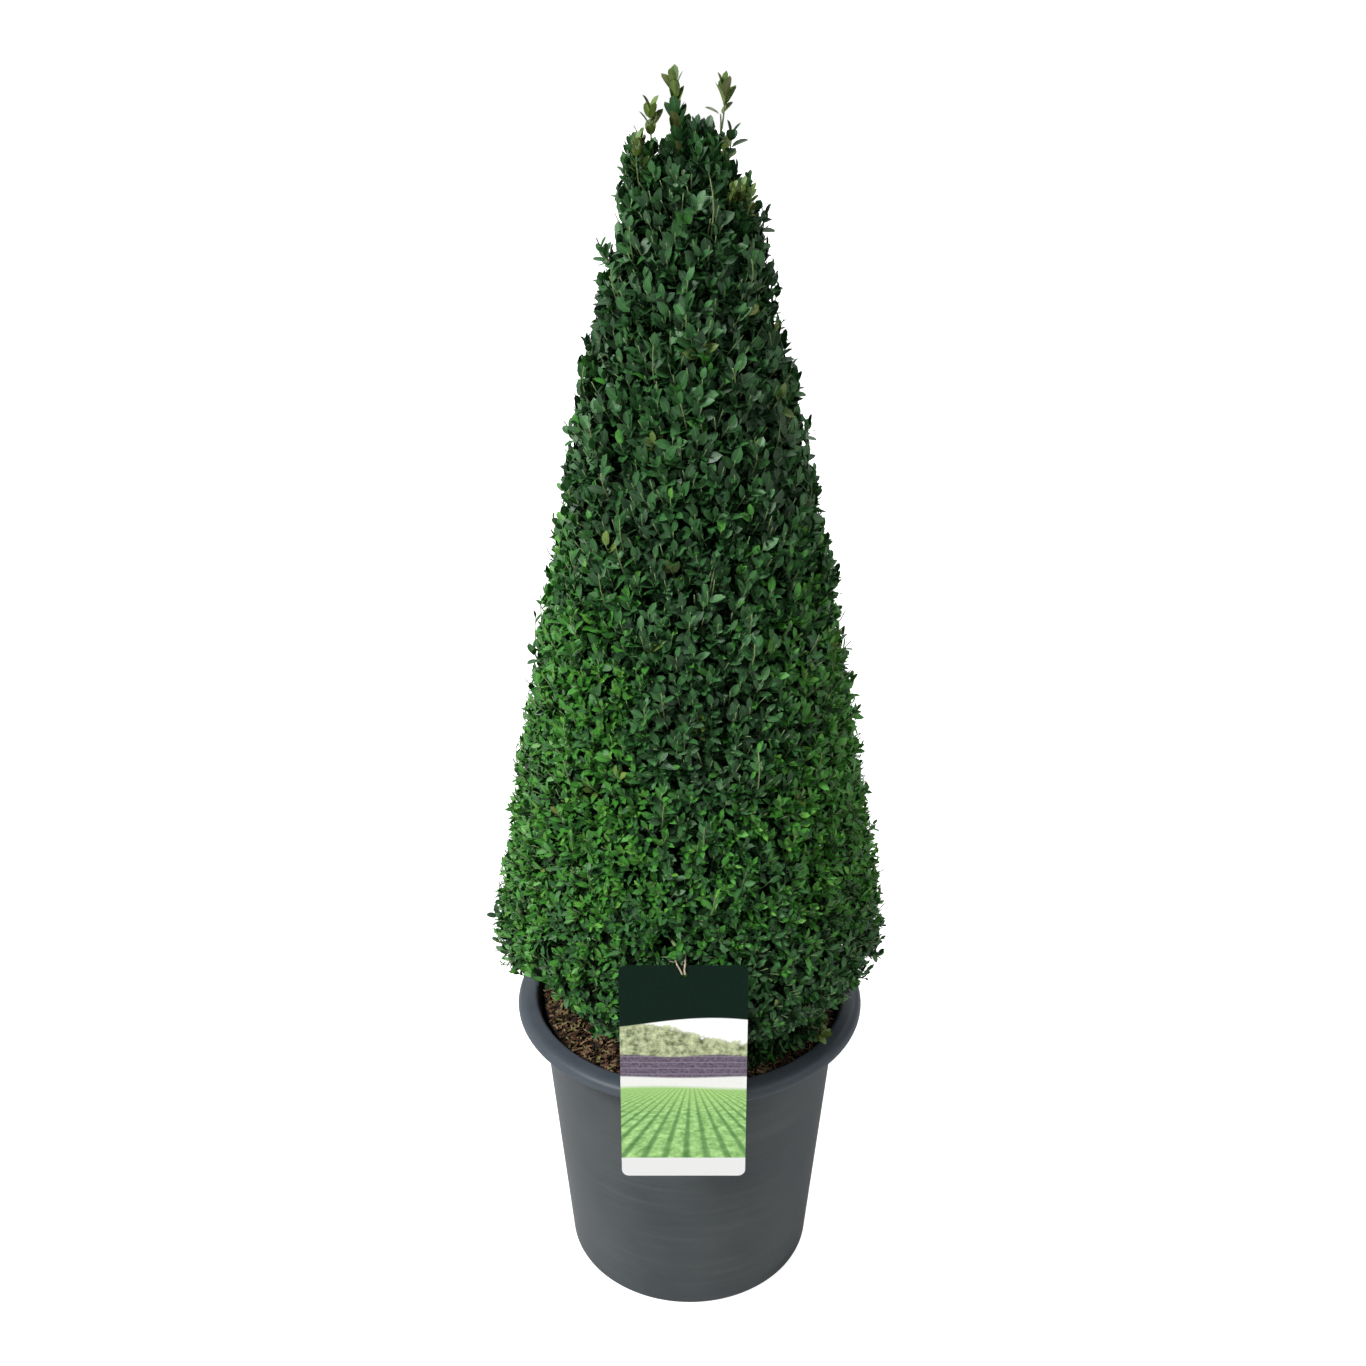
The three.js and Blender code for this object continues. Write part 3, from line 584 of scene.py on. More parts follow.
def grow_boughs(crown):
    """Limbs round the trunk at the golden angle, each out and up in a cubic curve to half the radius."""
    rng = default_rng(crown.seed + 1)
    n = crown.boughs
    angle = np.arange(n) * GOLDEN_ANGLE + rng.uniform(-0.3, 0.3, n)
    lowest, highest = 0.312, 1.075
    height = lowest + (highest - lowest) * ((np.arange(n) + 0.5) / n) ** 1.05
    out = polar(1.0, angle, 0.0)
    end_height = height + rng.uniform(0.07, 0.15, n) * (1.2 - 0.5 * (height - 0.3))
    end_height = np.minimum(end_height, crown.top_height - 0.05)
    reach = cone_radius(end_height, crown) * rng.uniform(0.42, 0.60, n)
    start = trunk_middle(height)
    end = out * reach[:, None] + UP * end_height[:, None]
    size = np.linalg.norm(end - start, axis=1)[:, None]
    p1 = start + (out * 0.8 + UP * 0.35) * size * 0.35
    p2 = end - (out * 0.35 + UP * 0.9) * size * 0.3
    return start, p1, p2, end


def grow_branchlets(crown, boughs):
    """Woody twigs to a shell up to 60 mm under the clipped surface, each from the nearest bough point."""
    n = crown.branchlets
    tips, out = over_cone(n, crown, crown.seed + 2, 0.2)
    radius = np.hypot(tips[:, 0], tips[:, 1])
    inset = np.minimum(0.060, 0.50 * radius + 0.008)
    tips = tips - out * inset[:, None]
    tips[:, 2] = np.clip(tips[:, 2], 0.308, crown.top_height - 0.045)
    heading = unit(out + UP * 0.7)
    samples = bezier(*boughs, np.linspace(0.12, 1.0, 12)).reshape(-1, 3)
    start = samples[nearest(tips - heading * 0.05, samples - UP * 0.006)]
    size = np.linalg.norm(tips - start, axis=1)[:, None]
    p1 = start + (unit(tips - start) * 0.7 + out * 0.3) * size * 0.33
    p2 = tips - heading * size * 0.33
    return start, p1, p2, tips


def grow_sprays(crown, card, branchlets):
    """Leafy shoots: each starts on the nearest branchlet tip and ends on the clipped surface.

    The end heads along the surface's normal tilted up by the rise, less under the widest ring, with a
    small drift to the side. Some shoots stop short and a few stand proud, as after a summer's growth.
    """
    n = crown.sprays
    rng = default_rng(crown.seed + 3)
    ends, out = over_cone(n, crown, crown.seed, 0.05)
    lift = ease(ends[:, 2], crown.foot_height, crown.widest_height)
    steep = crown.rise * (0.75 + 0.55 * ease(ends[:, 2], 0.48, 0.85)) * rng.uniform(0.8, 1.2, n)
    rise = np.tan(np.minimum(steep, 1.25)) * lift
    drift = rng.normal(0, 0.24, (n, 3))
    heading = unit(out + UP * rise[:, None] + drift)
    angle = np.arctan2(ends[:, 1], ends[:, 0])
    uneven = ripple(angle * 1.1, ends[:, 2] * 6.0, 5) * 0.0022
    proud = -np.abs(rng.normal(0, 0.0080, n)) + uneven
    proud = proud + np.where(rng.random(n) < 0.035, rng.uniform(0.003, 0.008, n), 0)
    ends = ends + out * proud[:, None]
    start = branchlets[3][nearest(ends - heading * 0.045, branchlets[3])]
    size = np.linalg.norm(ends - start, axis=1)[:, None]
    p1 = start + (out * 0.6 + unit(ends - start) * 0.5) * size * 0.32
    p2 = ends - heading * size * 0.42
    keep = ends_with_room(ends, heading, crown, card)
    kept = [part[keep] for part in (start, p1, p2, ends)]
    proud_leaves = np.where(rng.random(n) < 0.08, 0.005, 0) * ease(ends[:, 2], 0.44, 0.50)
    limit = rng.uniform(-0.0055, 0.0045, n) + proud_leaves - 0.0010 * (1 - ease(ends[:, 2], 0.44, 0.50))
    return {
        "curve": kept, "out": out[keep], "size": size[keep, 0], "limit": limit[keep],
        "long": np.zeros(keep.sum(), bool),
    }


def grow_long_shoots(crown, card, branchlets):
    """Shoots that come out of the clipped side and climb close along it, with bare pale stems.

    The end heads up the side, a little outwards and with a drift. The curve's two middle points lie back
    along the side by once and by about twice its reach, the inner one 10 mm deeper, so its outer half
    runs just over the clipped surface. None starts low on the cone.
    """
    rng = default_rng(crown.seed + 8)
    n = crown.long_shoots
    ends, out = over_cone(n, crown, crown.seed + 9, 0.6)
    climb = unit(UP - out * out[:, 2:])
    heading = unit(climb + out * rng.uniform(0.05, 0.30, n)[:, None] + rng.normal(0, 0.20, (n, 3)))
    reach = rng.uniform(0.014, 0.028, n)[:, None]
    ends = ends + out * rng.uniform(-0.002, 0.003, n)[:, None]
    p2 = ends - heading * reach
    p1 = ends - (heading + climb) * reach - out * 0.010
    start = branchlets[3][nearest(p1 - climb * 0.02 - out * 0.03, branchlets[3])]
    size = np.linalg.norm(ends - p1, axis=1) + np.linalg.norm(p1 - start, axis=1) * 0.7
    lowest_end = 0.53
    keep = (ends[:, 2] > lowest_end) & ends_with_room(ends, heading, crown, card)
    kept = [part[keep] for part in (start, p1, p2, ends)]
    return {
        "curve": kept, "out": out[keep], "size": size[keep], "limit": np.full(keep.sum(), 0.0060),
        "long": np.ones(keep.sum(), bool),
    }


# Along a spray, from its tip: how far each pair of leaves stands, its size and how far it opens
NODE_FROM_TIP = np.array([0.0006, 0.0048, 0.0104, 0.0166, 0.0234, 0.0320])
NODE_LEAF_SIZE = np.array([0.62, 0.84, 0.96, 1.02, 1.05, 1.10])
NODE_SPREAD = np.radians([20, 34, 44, 52, 58, 66])


def grow_leaves(crown, leaf, card, sprays):
    """Opposite pairs of leaves along every spray, each pair turned a quarter from the one before.

    A leaf heads along the shoot's tangent T turned by its spread s towards the side direction R of its
    pair, T cos s + R sin s. Its face is T sin s - R cos s, leaned towards the light.
    """
    rng = default_rng(crown.seed + 4)
    curve, out = sprays["curve"], sprays["out"]
    n, k = len(out), len(NODE_FROM_TIP)
    growth = 0.76 + 0.32 * ease(curve[3][:, 2], 0.48, 1.0) + rng.uniform(-0.06, 0.08, n)
    growth = growth * np.where(sprays["long"], 1.3, 1.0)
    from_tip = NODE_FROM_TIP * growth[:, None] * rng.uniform(0.9, 1.1, (n, k))
    t = np.clip(1 - from_tip / np.maximum(sprays["size"], 0.02)[:, None], 0.02, 1)
    place = bezier(*curve, t)
    tangent = bezier_heading(*curve, t)
    side = unit(np.cross(tangent, out[:, None] + 0.01))
    other = np.cross(tangent, side)
    first = rng.uniform(0, math.pi, n)[:, None]
    turn = first + np.arange(k) * math.pi / 2 + rng.normal(0, 0.20, (n, k))
    turn = np.stack([turn, turn + math.pi + rng.normal(0, 0.12, (n, k))], -1)
    around = about_stem(turn, side, other)
    spread = np.clip(NODE_SPREAD[:, None] + rng.normal(0, 0.15, (n, k, 2)), 0.2, 1.5)
    ahead = np.cos(spread)[..., None]
    beside = np.sin(spread)[..., None]
    along = tangent[:, :, None]
    heading = unit(along * ahead + around * beside + rng.normal(0, 0.07, (n, k, 2, 3)))
    face = along * beside - around * ahead
    light = out[:, None, None] * 0.24 + np.array([-0.06, -0.04, 0.18])
    face = face + light + rng.normal(0, 0.42, (n, k, 2, 3))
    face = square_to(face, heading)
    z = place[:, :, None, 2]
    full_size = leaf.length_low + (leaf.length_high - leaf.length_low) * ease(z, 0.48, 1.02)
    size = full_size * NODE_LEAF_SIZE[:, None] * rng.uniform(0.80, 1.14, (n, k, 2))
    broad = 0.92 + 0.20 * ease(z, 0.55, 0.95)
    width = size * leaf.width_share * broad * rng.uniform(0.45, 0.58, (n, k, 2))
    base = place[:, :, None] + around * 0.0008
    flat = {
        "base": base.reshape(-1, 3), "heading": heading.reshape(-1, 3), "face": face.reshape(-1, 3),
        "size": size.ravel(), "width": width.ravel(), "spray": np.repeat(np.arange(n), k * 2),
    }
    flat["fold"] = rng.uniform(0.18, 0.58, flat["size"].shape)
    flat["bend"] = rng.uniform(-0.02, 0.20, flat["size"].shape)
    flat["finish"] = deal_tints(rng, sprays, k).ravel()
    mid = flat["base"] + flat["heading"] * (flat["size"] * 0.55)[:, None]
    tip = flat["base"] + flat["heading"] * flat["size"][:, None]
    across = np.cross(flat["heading"], flat["face"]) * flat["width"][:, None]
    tested = np.stack([flat["base"], mid, tip, mid + across, mid - across], 1)
    room = has_room(tested, crown, card, sprays["limit"][flat["spray"], None])
    return {name: part[room] for name, part in flat.items()}


def grow_inner_leaves(crown, card, branchlets):
    """Sparse leaves inside the crown, in opposite pairs along the outer part of every branchlet, dark with
    painted shade.

    They turn by the golden angle from pair to pair, stand square to the branchlet and face outwards.
    """
    rng = default_rng(crown.seed + 6)
    t = np.linspace(0.45, 1.0, 5)
    n, k = len(branchlets[0]), len(t)
    place, tangent = bezier(*branchlets, t), bezier_heading(*branchlets, t)
    side = unit(np.cross(tangent, np.array([0.3, 0.2, 1.0])))
    other = np.cross(tangent, side)
    turn = rng.uniform(0, math.pi, n)[:, None] + np.arange(k) * GOLDEN_ANGLE
    turn = np.stack([turn, turn + math.pi], -1)
    around = about_stem(turn, side, other)
    heading = unit(around + tangent[:, :, None] * 0.45 + rng.normal(0, 0.15, (n, k, 2, 3)))
    face = tangent[:, :, None] - around * 0.3 + rng.normal(0, 0.25, (n, k, 2, 3))
    face = square_to(face, heading)
    size = 0.0205 * rng.uniform(0.85, 1.15, (n, k, 2)).ravel()
    flat = {
        "base": np.broadcast_to(place[:, :, None], heading.shape).reshape(-1, 3),
        "heading": heading.reshape(-1, 3), "face": face.reshape(-1, 3), "size": size, "width": size * 0.30,
    }
    flat["fold"] = rng.uniform(0.1, 0.3, size.shape)
    flat["bend"] = rng.uniform(0.0, 0.2, size.shape)
    # Painted shade: every inner leaf takes the dark shaded colour.
    flat["finish"] = np.full(size.shape, SHADED)
    tip = flat["base"] + flat["heading"] * size[:, None]
    room = has_room(np.stack([flat["base"], tip], 1), crown, card, 0.0)
    return {name: part[room] for name, part in flat.items()}


# The numbers of the leaf colours in the order of leaf_finishes, and two more on the single shoots
DEEP, GROWN, FRESH, YOUNG, FADED, SHADED, OLIVE, TANNED, GREEN_STEM = range(9)


def deal_tints(rng, sprays, k):
    """Deals each leaf of k pairs on every spray its plain colour, by spray and by its place on the shoot.

    Sprays on the left and right flanks and low down are fresh, those over the middle are deep, in soft
    patches; the fresh left flank faces the main light, so its colour is partly painted light. The first
    pairs may be a step lighter and the last a step darker, leaves far in take the shaded colour as
    painted shade, fresh leaves high over the middle fall back to grown ones, and a few sprays are olive.
    """
    ends = sprays["curve"][3]
    n, z = len(ends), ends[:, 2]
    angle = np.arctan2(ends[:, 1], ends[:, 0])
    # Painted light: sprays on the left flank, which faces the main light, lean to the fresher colours.
    lit_flank = ease(-np.cos(angle - math.radians(12)), 0.22, 0.80) * (1 - ease(z, 0.76, 0.90))
    lit_flank = lit_flank * (0.60 + 0.40 * ease(z, 0.36, 0.50))
    low = (1 - ease(z, 0.52, 0.78)) * (0.10 + 0.90 * ease(z, 0.36, 0.52))
    patch = ripple(angle * 0.8, z * 3.4, 11)
    right = ease(np.cos(angle + math.radians(10)), 0.35, 0.95) * ease(z, 0.40, 0.50)
    right = right * (1 - ease(z, 0.74, 0.90))
    each = (n, k, 2)
    vigour = 0.21 + 0.31 * lit_flank + 0.32 * right + 0.22 * low * (1 - 0.35 * lit_flank) + 0.09 * patch
    level = vigour + rng.normal(0, 0.11, n)
    step = np.digitize(level, [0.20, 0.50, 0.98])
    shift = np.array([1, 1, 0, 0, 0, -1])
    tint = step[:, None, None] + shift[None, :, None] * (rng.random(each) < 0.35)
    tint = tint + (rng.random(each) < 0.04) - (rng.random(each) < 0.14)
    tint = np.where(rng.random(each) < 0.0020, FADED, np.clip(tint, DEEP, YOUNG))
    quiet = 0.88 * (1 - lit_flank) * (1 - right) * ease(z, 0.60, 0.72)
    quiet = rng.random(each) < quiet[:, None, None]
    tint = np.where(quiet & ((tint == FRESH) | (tint == YOUNG)), GROWN, tint)
    # Painted shade: most leaves past the fourth pair take the dark shaded colour.
    deep_in = (rng.random(each) < 0.75) & (np.arange(k) > 3)[None, :, None]
    tint = np.where(deep_in & ~sprays["long"][:, None, None], SHADED, tint)
    olive = (rng.random(n) < 0.014) & (z > 0.55)
    return np.where(olive[:, None, None] & (np.arange(k) < 4)[None, :, None], OLIVE, tint)


# Finishes


def add(tree, kind, place=(0, 0), **settings):
    """A shader node with some of its settings given by name."""
    made = tree.nodes.new(kind)
    made.location = place
    for name, value in settings.items():
        setattr(made, name, value)
    return made


def put(tree, socket, value):
    """Links a socket to another, or sets its plain value."""
    if isinstance(value, bpy.types.NodeSocket):
        tree.links.new(value, socket)
    else:
        socket.default_value = value


def fill(node, values):
    """Gives sockets of a node their plain values by name."""
    for label, value in values.items():
        node.inputs[label].default_value = value


def calc(tree, operation, first, second=0.0, third=0.0, clamp=False):
    """One step of arithmetic on values, held from 0 to 1 where clamp is set."""
    step = add(tree, "ShaderNodeMath", operation=operation, use_clamp=clamp)
    for socket, value in zip(step.inputs, (first, second, third)):
        put(tree, socket, value)
    return step.outputs[0]


def times(tree, first, second):
    """Two values multiplied."""
    return calc(tree, "MULTIPLY", first, second)


def between(tree, value, from_low, from_high, low=0.0, high=1.0):
    """The value carried in a straight line from its own range to another, held at the ends."""
    step = add(tree, "ShaderNodeMapRange", clamp=True)
    for socket, number in zip(step.inputs, (value, from_low, from_high, low, high)):
        put(tree, socket, number)
    return step.outputs[0]


def blended(tree, share, first, second, how="MIX"):
    """Two colours mixed by a share."""
    step = add(tree, "ShaderNodeMix", data_type="RGBA", blend_type=how, clamp_factor=True)
    put(tree, step.inputs[0], share)
    put(tree, step.inputs[6], first)
    put(tree, step.inputs[7], second)
    return step.outputs[2]


def speckle(tree, vector, scale, detail=3.0, roughness=0.55, distortion=0.0):
    """Noise on a vector, as a value."""
    noise = add(tree, "ShaderNodeTexNoise")
    put(tree, noise.inputs["Vector"], vector)
    put(tree, noise.inputs["Scale"], scale)
    fill(noise, {"Detail": detail, "Roughness": roughness, "Distortion": distortion})
    return noise.outputs[0]


def raised(tree, height, distance, strength):
    """A bump from a height, given in metres."""
    bump = add(tree, "ShaderNodeBump")
    put(tree, bump.inputs["Height"], height)
    put(tree, bump.inputs["Distance"], distance)
    put(tree, bump.inputs["Strength"], strength)
    return bump.outputs[0]


def new_group(name, inputs, outputs):
    """A node group with named sockets and nothing between them; inputs give kind and default."""
    group = bpy.data.node_groups.new(name, "ShaderNodeTree")
    for label, (kind, default) in inputs.items():
        socket = group.interface.new_socket(name=label, in_out="INPUT", socket_type=kind)
        socket.default_value = default
    for label, kind in outputs.items():
        group.interface.new_socket(name=label, in_out="OUTPUT", socket_type=kind)
    given = add(group, "NodeGroupInput", (-900, 0)).outputs
    out = add(group, "NodeGroupOutput", (900, 0)).inputs
    return group, given, out


FLOAT, COLOUR, VECTOR = "NodeSocketFloat", "NodeSocketColor", "NodeSocketVector"


def leaf_surface_group():
    """Colour, roughness and bump of a leaf: midrib, faint side veins, a painted highlight at the edge and a
    dome by UV, mottle by place.
    """
    known = bpy.data.node_groups.get("leaf surface")
    if known:
        return known
    group, given, out = new_group(
        "leaf surface",
        {"Blade": (COLOUR, (0.05, 0.1, 0.03, 1)), "Rib": (COLOUR, (0.2, 0.3, 0.1, 1)),
         "Rib share": (FLOAT, 0.4), "Edge": (COLOUR, (0.1, 0.1, 0.03, 1)), "Edge highlight share": (FLOAT, 0.15)},
        {"Colour": COLOUR, "Roughness": FLOAT, "Normal": VECTOR},
    )
    place = add(group, "ShaderNodeTexCoord")
    split = add(group, "ShaderNodeSeparateXYZ")
    group.links.new(place.outputs["UV"], split.inputs[0])
    across = calc(group, "ABSOLUTE", calc(group, "SUBTRACT", split.outputs[0], 0.5))
    rib = between(group, across, 0.012, 0.055, 1.0, 0.0)
    slant = calc(group, "SUBTRACT", split.outputs[1], times(group, across, 0.55))
    wave = calc(group, "SINE", times(group, slant, 62.0))
    veins = between(group, wave, 0.55, 1.0)
    patch = speckle(group, place.outputs["Object"], 95.0)
    fine = speckle(group, place.outputs["Object"], 900.0, detail=2.0)
    dark = blended(group, 1.0, given["Blade"], (0.62, 0.66, 0.72, 1), "MULTIPLY")
    light = blended(group, 1.0, given["Blade"], (1.42, 1.34, 1.16, 1), "MULTIPLY")
    blade = blended(group, between(group, patch, 0.32, 0.68), dark, light)
    blade = blended(group, times(group, veins, 0.14), blade, given["Rib"])
    # The pale midrib is the leaf's own, and its high share also gives it part of the painted highlight.
    blade = blended(group, times(group, rib, given["Rib share"]), blade, given["Rib"])
    # Painted highlight: a paler, greyer margin along the leaf's edge.
    edge = between(group, across, 0.40, 0.50)
    blade = blended(group, times(group, edge, given["Edge highlight share"]), blade, given["Edge"])
    group.links.new(blade, out["Colour"])
    group.links.new(between(group, patch, 0.3, 0.7, 0.42, 0.58), out["Roughness"])
    height = calc(group, "ADD", times(group, rib, -0.5), times(group, fine, 0.35))
    height = calc(group, "ADD", height, times(group, veins, -0.15))
    dome = times(group, times(group, across, across), -11.0)
    height = calc(group, "ADD", height, dome)
    group.links.new(raised(group, height, 0.00025, 0.6), out["Normal"])
    return group


def bark_group():
    """Colour and bump of bark or a green twig: long streaks and small pores by place."""
    known = bpy.data.node_groups.get("bark grain")
    if known:
        return known
    group, given, out = new_group(
        "bark grain",
        {"Base": (COLOUR, (0.2, 0.15, 0.1, 1)), "Crack": (COLOUR, (0.05, 0.035, 0.02, 1)),
         "Scale": (FLOAT, 120.0), "Crack share": (FLOAT, 0.6)},
        {"Colour": COLOUR, "Roughness": FLOAT, "Normal": VECTOR},
    )
    place = add(group, "ShaderNodeTexCoord")
    stretch = add(group, "ShaderNodeMapping")
    fill(stretch, {"Scale": (1.0, 1.0, 0.22)})
    group.links.new(place.outputs["Object"], stretch.inputs["Vector"])
    streak = speckle(group, stretch.outputs[0], given["Scale"], detail=5.0, roughness=0.62, distortion=0.6)
    pores = speckle(group, place.outputs["Object"], times(group, given["Scale"], 5.0))
    crack = between(group, streak, 0.36, 0.54, 1.0, 0.0)
    tint = blended(group, between(group, pores, 0.3, 0.7),
                   blended(group, 1.0, given["Base"], (0.72, 0.72, 0.72, 1), "MULTIPLY"),
                   blended(group, 1.0, given["Base"], (1.35, 1.32, 1.22, 1), "MULTIPLY"))
    tint = blended(group, times(group, crack, given["Crack share"]), tint, given["Crack"])
    group.links.new(tint, out["Colour"])
    group.links.new(between(group, streak, 0.3, 0.7, 0.92, 0.66), out["Roughness"])
    height = calc(group, "ADD", streak, times(group, pores, 0.3))
    group.links.new(raised(group, height, 0.0016, 0.8), out["Normal"])
    return group


def dusty_group():
    """Dust and scuffs on a smooth skin: soft patches, fine streaks round the piece, small specks."""
    known = bpy.data.node_groups.get("dust and scuffs")
    if known:
        return known
    group, given, out = new_group(
        "dust and scuffs",
        {"Base": (COLOUR, (0.05, 0.06, 0.06, 1)), "Dust": (COLOUR, (0.2, 0.2, 0.19, 1)),
         "Amount": (FLOAT, 0.2), "Shine": (FLOAT, 0.42), "Grain": (FLOAT, 0.00008)},
        {"Colour": COLOUR, "Roughness": FLOAT, "Normal": VECTOR},
    )
    place = add(group, "ShaderNodeTexCoord")
    rings = add(group, "ShaderNodeMapping")
    fill(rings, {"Scale": (0.8, 0.8, 14.0)})
    group.links.new(place.outputs["Object"], rings.inputs["Vector"])
    cloud = speckle(group, place.outputs["Object"], 9.0, detail=5.0, roughness=0.6)
    streak = speckle(group, rings.outputs[0], 8.0, detail=6.0, roughness=0.65)
    specks = speckle(group, place.outputs["Object"], 620.0, detail=2.0)
    fine = speckle(group, place.outputs["Object"], 1500.0, detail=2.0)
    cover = calc(group, "ADD", between(group, cloud, 0.40, 0.75, 0.0, 0.65),
                   between(group, streak, 0.48, 0.75, 0.0, 0.55))
    cover = calc(group, "ADD", cover, between(group, specks, 0.66, 0.74, 0.0, 0.5))
    share = calc(group, "MULTIPLY", cover, given["Amount"], clamp=True)
    group.links.new(blended(group, share, given["Base"], given["Dust"]), out["Colour"])
    rough = calc(group, "ADD", given["Shine"], times(group, cover, 0.16))
    group.links.new(rough, out["Roughness"])
    height = calc(group, "ADD", fine, times(group, streak, 0.6))
    group.links.new(raised(group, height, given["Grain"], 0.7), out["Normal"])
    return group


def new_material(name):
    """A material with its node tree and its surface shader."""
    made = bpy.data.materials.new(name)
    made.use_nodes = True
    return made, made.node_tree, made.node_tree.nodes["Principled BSDF"]


def finish_from(name, group, values, specular):
    """A material whose colour, roughness and bump come from one node group with these values."""
    made, tree, shader = new_material(name)
    effect = add(tree, "ShaderNodeGroup", (-400, 0), node_tree=group)
    fill(effect, values)
    tree.links.new(effect.outputs["Colour"], shader.inputs["Base Color"])
    tree.links.new(effect.outputs["Roughness"], shader.inputs["Roughness"])
    tree.links.new(effect.outputs["Normal"], shader.inputs["Normal"])
    fill(shader, {"Specular IOR Level": specular})
    return made


def leaf_material(name, blade, rib_share=0.50, edge_highlight_share=0.40, specular=0.48):
    """Glossy boxwood leaf: the blade's colour above, a paler and duller green below."""
    group = leaf_surface_group()
    blade = np.array(blade)
    # The rib is the leaf's own pale midrib, made pale enough to carry part of the painted highlight too.
    rib = np.append(np.minimum(blade[:3] * 1.7 + np.array([0.05, 0.06, 0.012]), 1), 1)
    # Painted highlight: the edge colour is a paler, greyer green than the blade.
    edge = np.append(blade[:3] * 1.3 + np.array([0.040, 0.048, 0.018]), 1)
    values = {"Blade": blade, "Rib": rib, "Rib share": rib_share, "Edge": edge, "Edge highlight share": edge_highlight_share}
    made = finish_from(name, group, values, specular=specular)
    tree = made.node_tree
    shader = tree.nodes["Principled BSDF"]
    fill(shader, {"Specular Tint": (0.82, 1.0, 0.82, 1.0)})
    above = shader.inputs["Base Color"].links[0].from_socket
    side = add(tree, "ShaderNodeNewGeometry")
    below = blended(tree, 1.0, above, (1.32, 1.20, 1.24, 1), "MULTIPLY")
    both = blended(tree, side.outputs["Backfacing"], above, below)
    tree.links.new(both, shader.inputs["Base Color"])
    return made


def leaf_finishes(leaf):
    """The plain leaf colours: four from deep to young, then faded, shaded and olive. Made once."""
    kinds = ("deep", "grown", "fresh", "young", "faded", "shaded", "olive")
    names = [f"leaf_{kind}" for kind in kinds]
    found = [bpy.data.materials.get(name) for name in names]
    if all(found):
        return found
    colours = (leaf.deep, leaf.middle, leaf.fresh, leaf.young, leaf.faded)
    made = [leaf_material(name, tint) for name, tint in zip(names, colours)]
    # The shaded colour, dull and dark, is painted shade for leaves deep in the crown.
    made.append(leaf_material(names[SHADED], leaf.shaded, 0.15, 0.05, specular=0.15))
    made.append(leaf_material(names[OLIVE], leaf.olive, 0.40, 0.35))
    return made


def wood_finish(name, base, crack, scale, crack_share):
    """Bark or green twig, made once."""
    known = bpy.data.materials.get(name)
    if known:
        return known
    values = {"Base": base, "Crack": crack, "Scale": scale, "Crack share": crack_share}
    return finish_from(name, bark_group(), values, specular=0.3)


def bark_finish(wood):
    """Bark of the trunk, boughs and branchlets."""
    return wood_finish("boxwood_bark", wood.bark, (0.045, 0.030, 0.018, 1), 90.0, 0.7)


GREEN_CRACK = (0.085, 0.115, 0.045, 1)


def green_finish(wood):
    """Green skin of this year's twigs."""
    return wood_finish("green_twig", wood.twig, GREEN_CRACK, 240.0, 0.30)


def pale_finish(wood):
    """Paler skin of the long shoots' stems."""
    return wood_finish("pale_twig", wood.pale_twig, GREEN_CRACK, 240.0, 0.40)


# Pot


def curve_points(start, bend, end, steps):
    """Points after start on a quadratic curve: (1-t)^2 start + 2 t (1-t) bend + t^2 end."""
    t = np.linspace(0, 1, steps + 1)[1:, None]
    start, bend, end = map(np.array, (start, bend, end))
    return (1 - t) ** 2 * start + 2 * t * (1 - t) * bend + t * t * end


def line_points(start, end, steps):
    """Points after start on a straight line, evenly spaced."""
    return np.linspace(start, end, steps + 1)[1:]


POT_TURNS = 144
POT_FLOOR = 0.006
HOLES = 6
HOLE_RADIUS = 0.006
HOLE_RING = 0.088
PLATE_INNER = 0.070
PLATE_OUTER = 0.106
PLATE_EDGE = 0.116


def pot_profile():
    """The wall's section as (radius, height): underside, tapered wall, rolled rim, inside and floor."""
    foot, wall_foot, wall_top = (0.125, 0.0), (0.1304, 0.005), (0.1545, 0.288)
    flange, lip_foot, lip_side = (0.1685, 0.300), (0.1775, 0.3005), (0.180, 0.3045)
    lip_top, lip_inner, mouth = (0.169, 0.313), (0.163, 0.313), (0.1575, 0.307)
    shoulder, floor_edge = (0.1515, 0.284), (0.127, POT_FLOOR)
    outside = [
        [(PLATE_OUTER, 0.0), (PLATE_EDGE, 0.0), foot],
        curve_points(foot, (0.130, 0.0), wall_foot, 6),
        line_points(wall_foot, wall_top, 24),
        curve_points(wall_top, (0.1565, 0.2995), flange, 8),
        line_points(flange, lip_foot, 2),
        curve_points(lip_foot, (0.180, 0.3005), lip_side, 5),
        curve_points(lip_side, (0.179, 0.313), lip_top, 10),
        line_points(lip_top, lip_inner, 2),
        curve_points(lip_inner, (0.159, 0.313), mouth, 7),
    ]
    inside = [
        line_points(mouth, shoulder, 4),
        line_points(shoulder, floor_edge, 11),
        [(PLATE_EDGE, POT_FLOOR), (PLATE_OUTER, POT_FLOOR)],
    ]
    return np.concatenate(outside + inside)


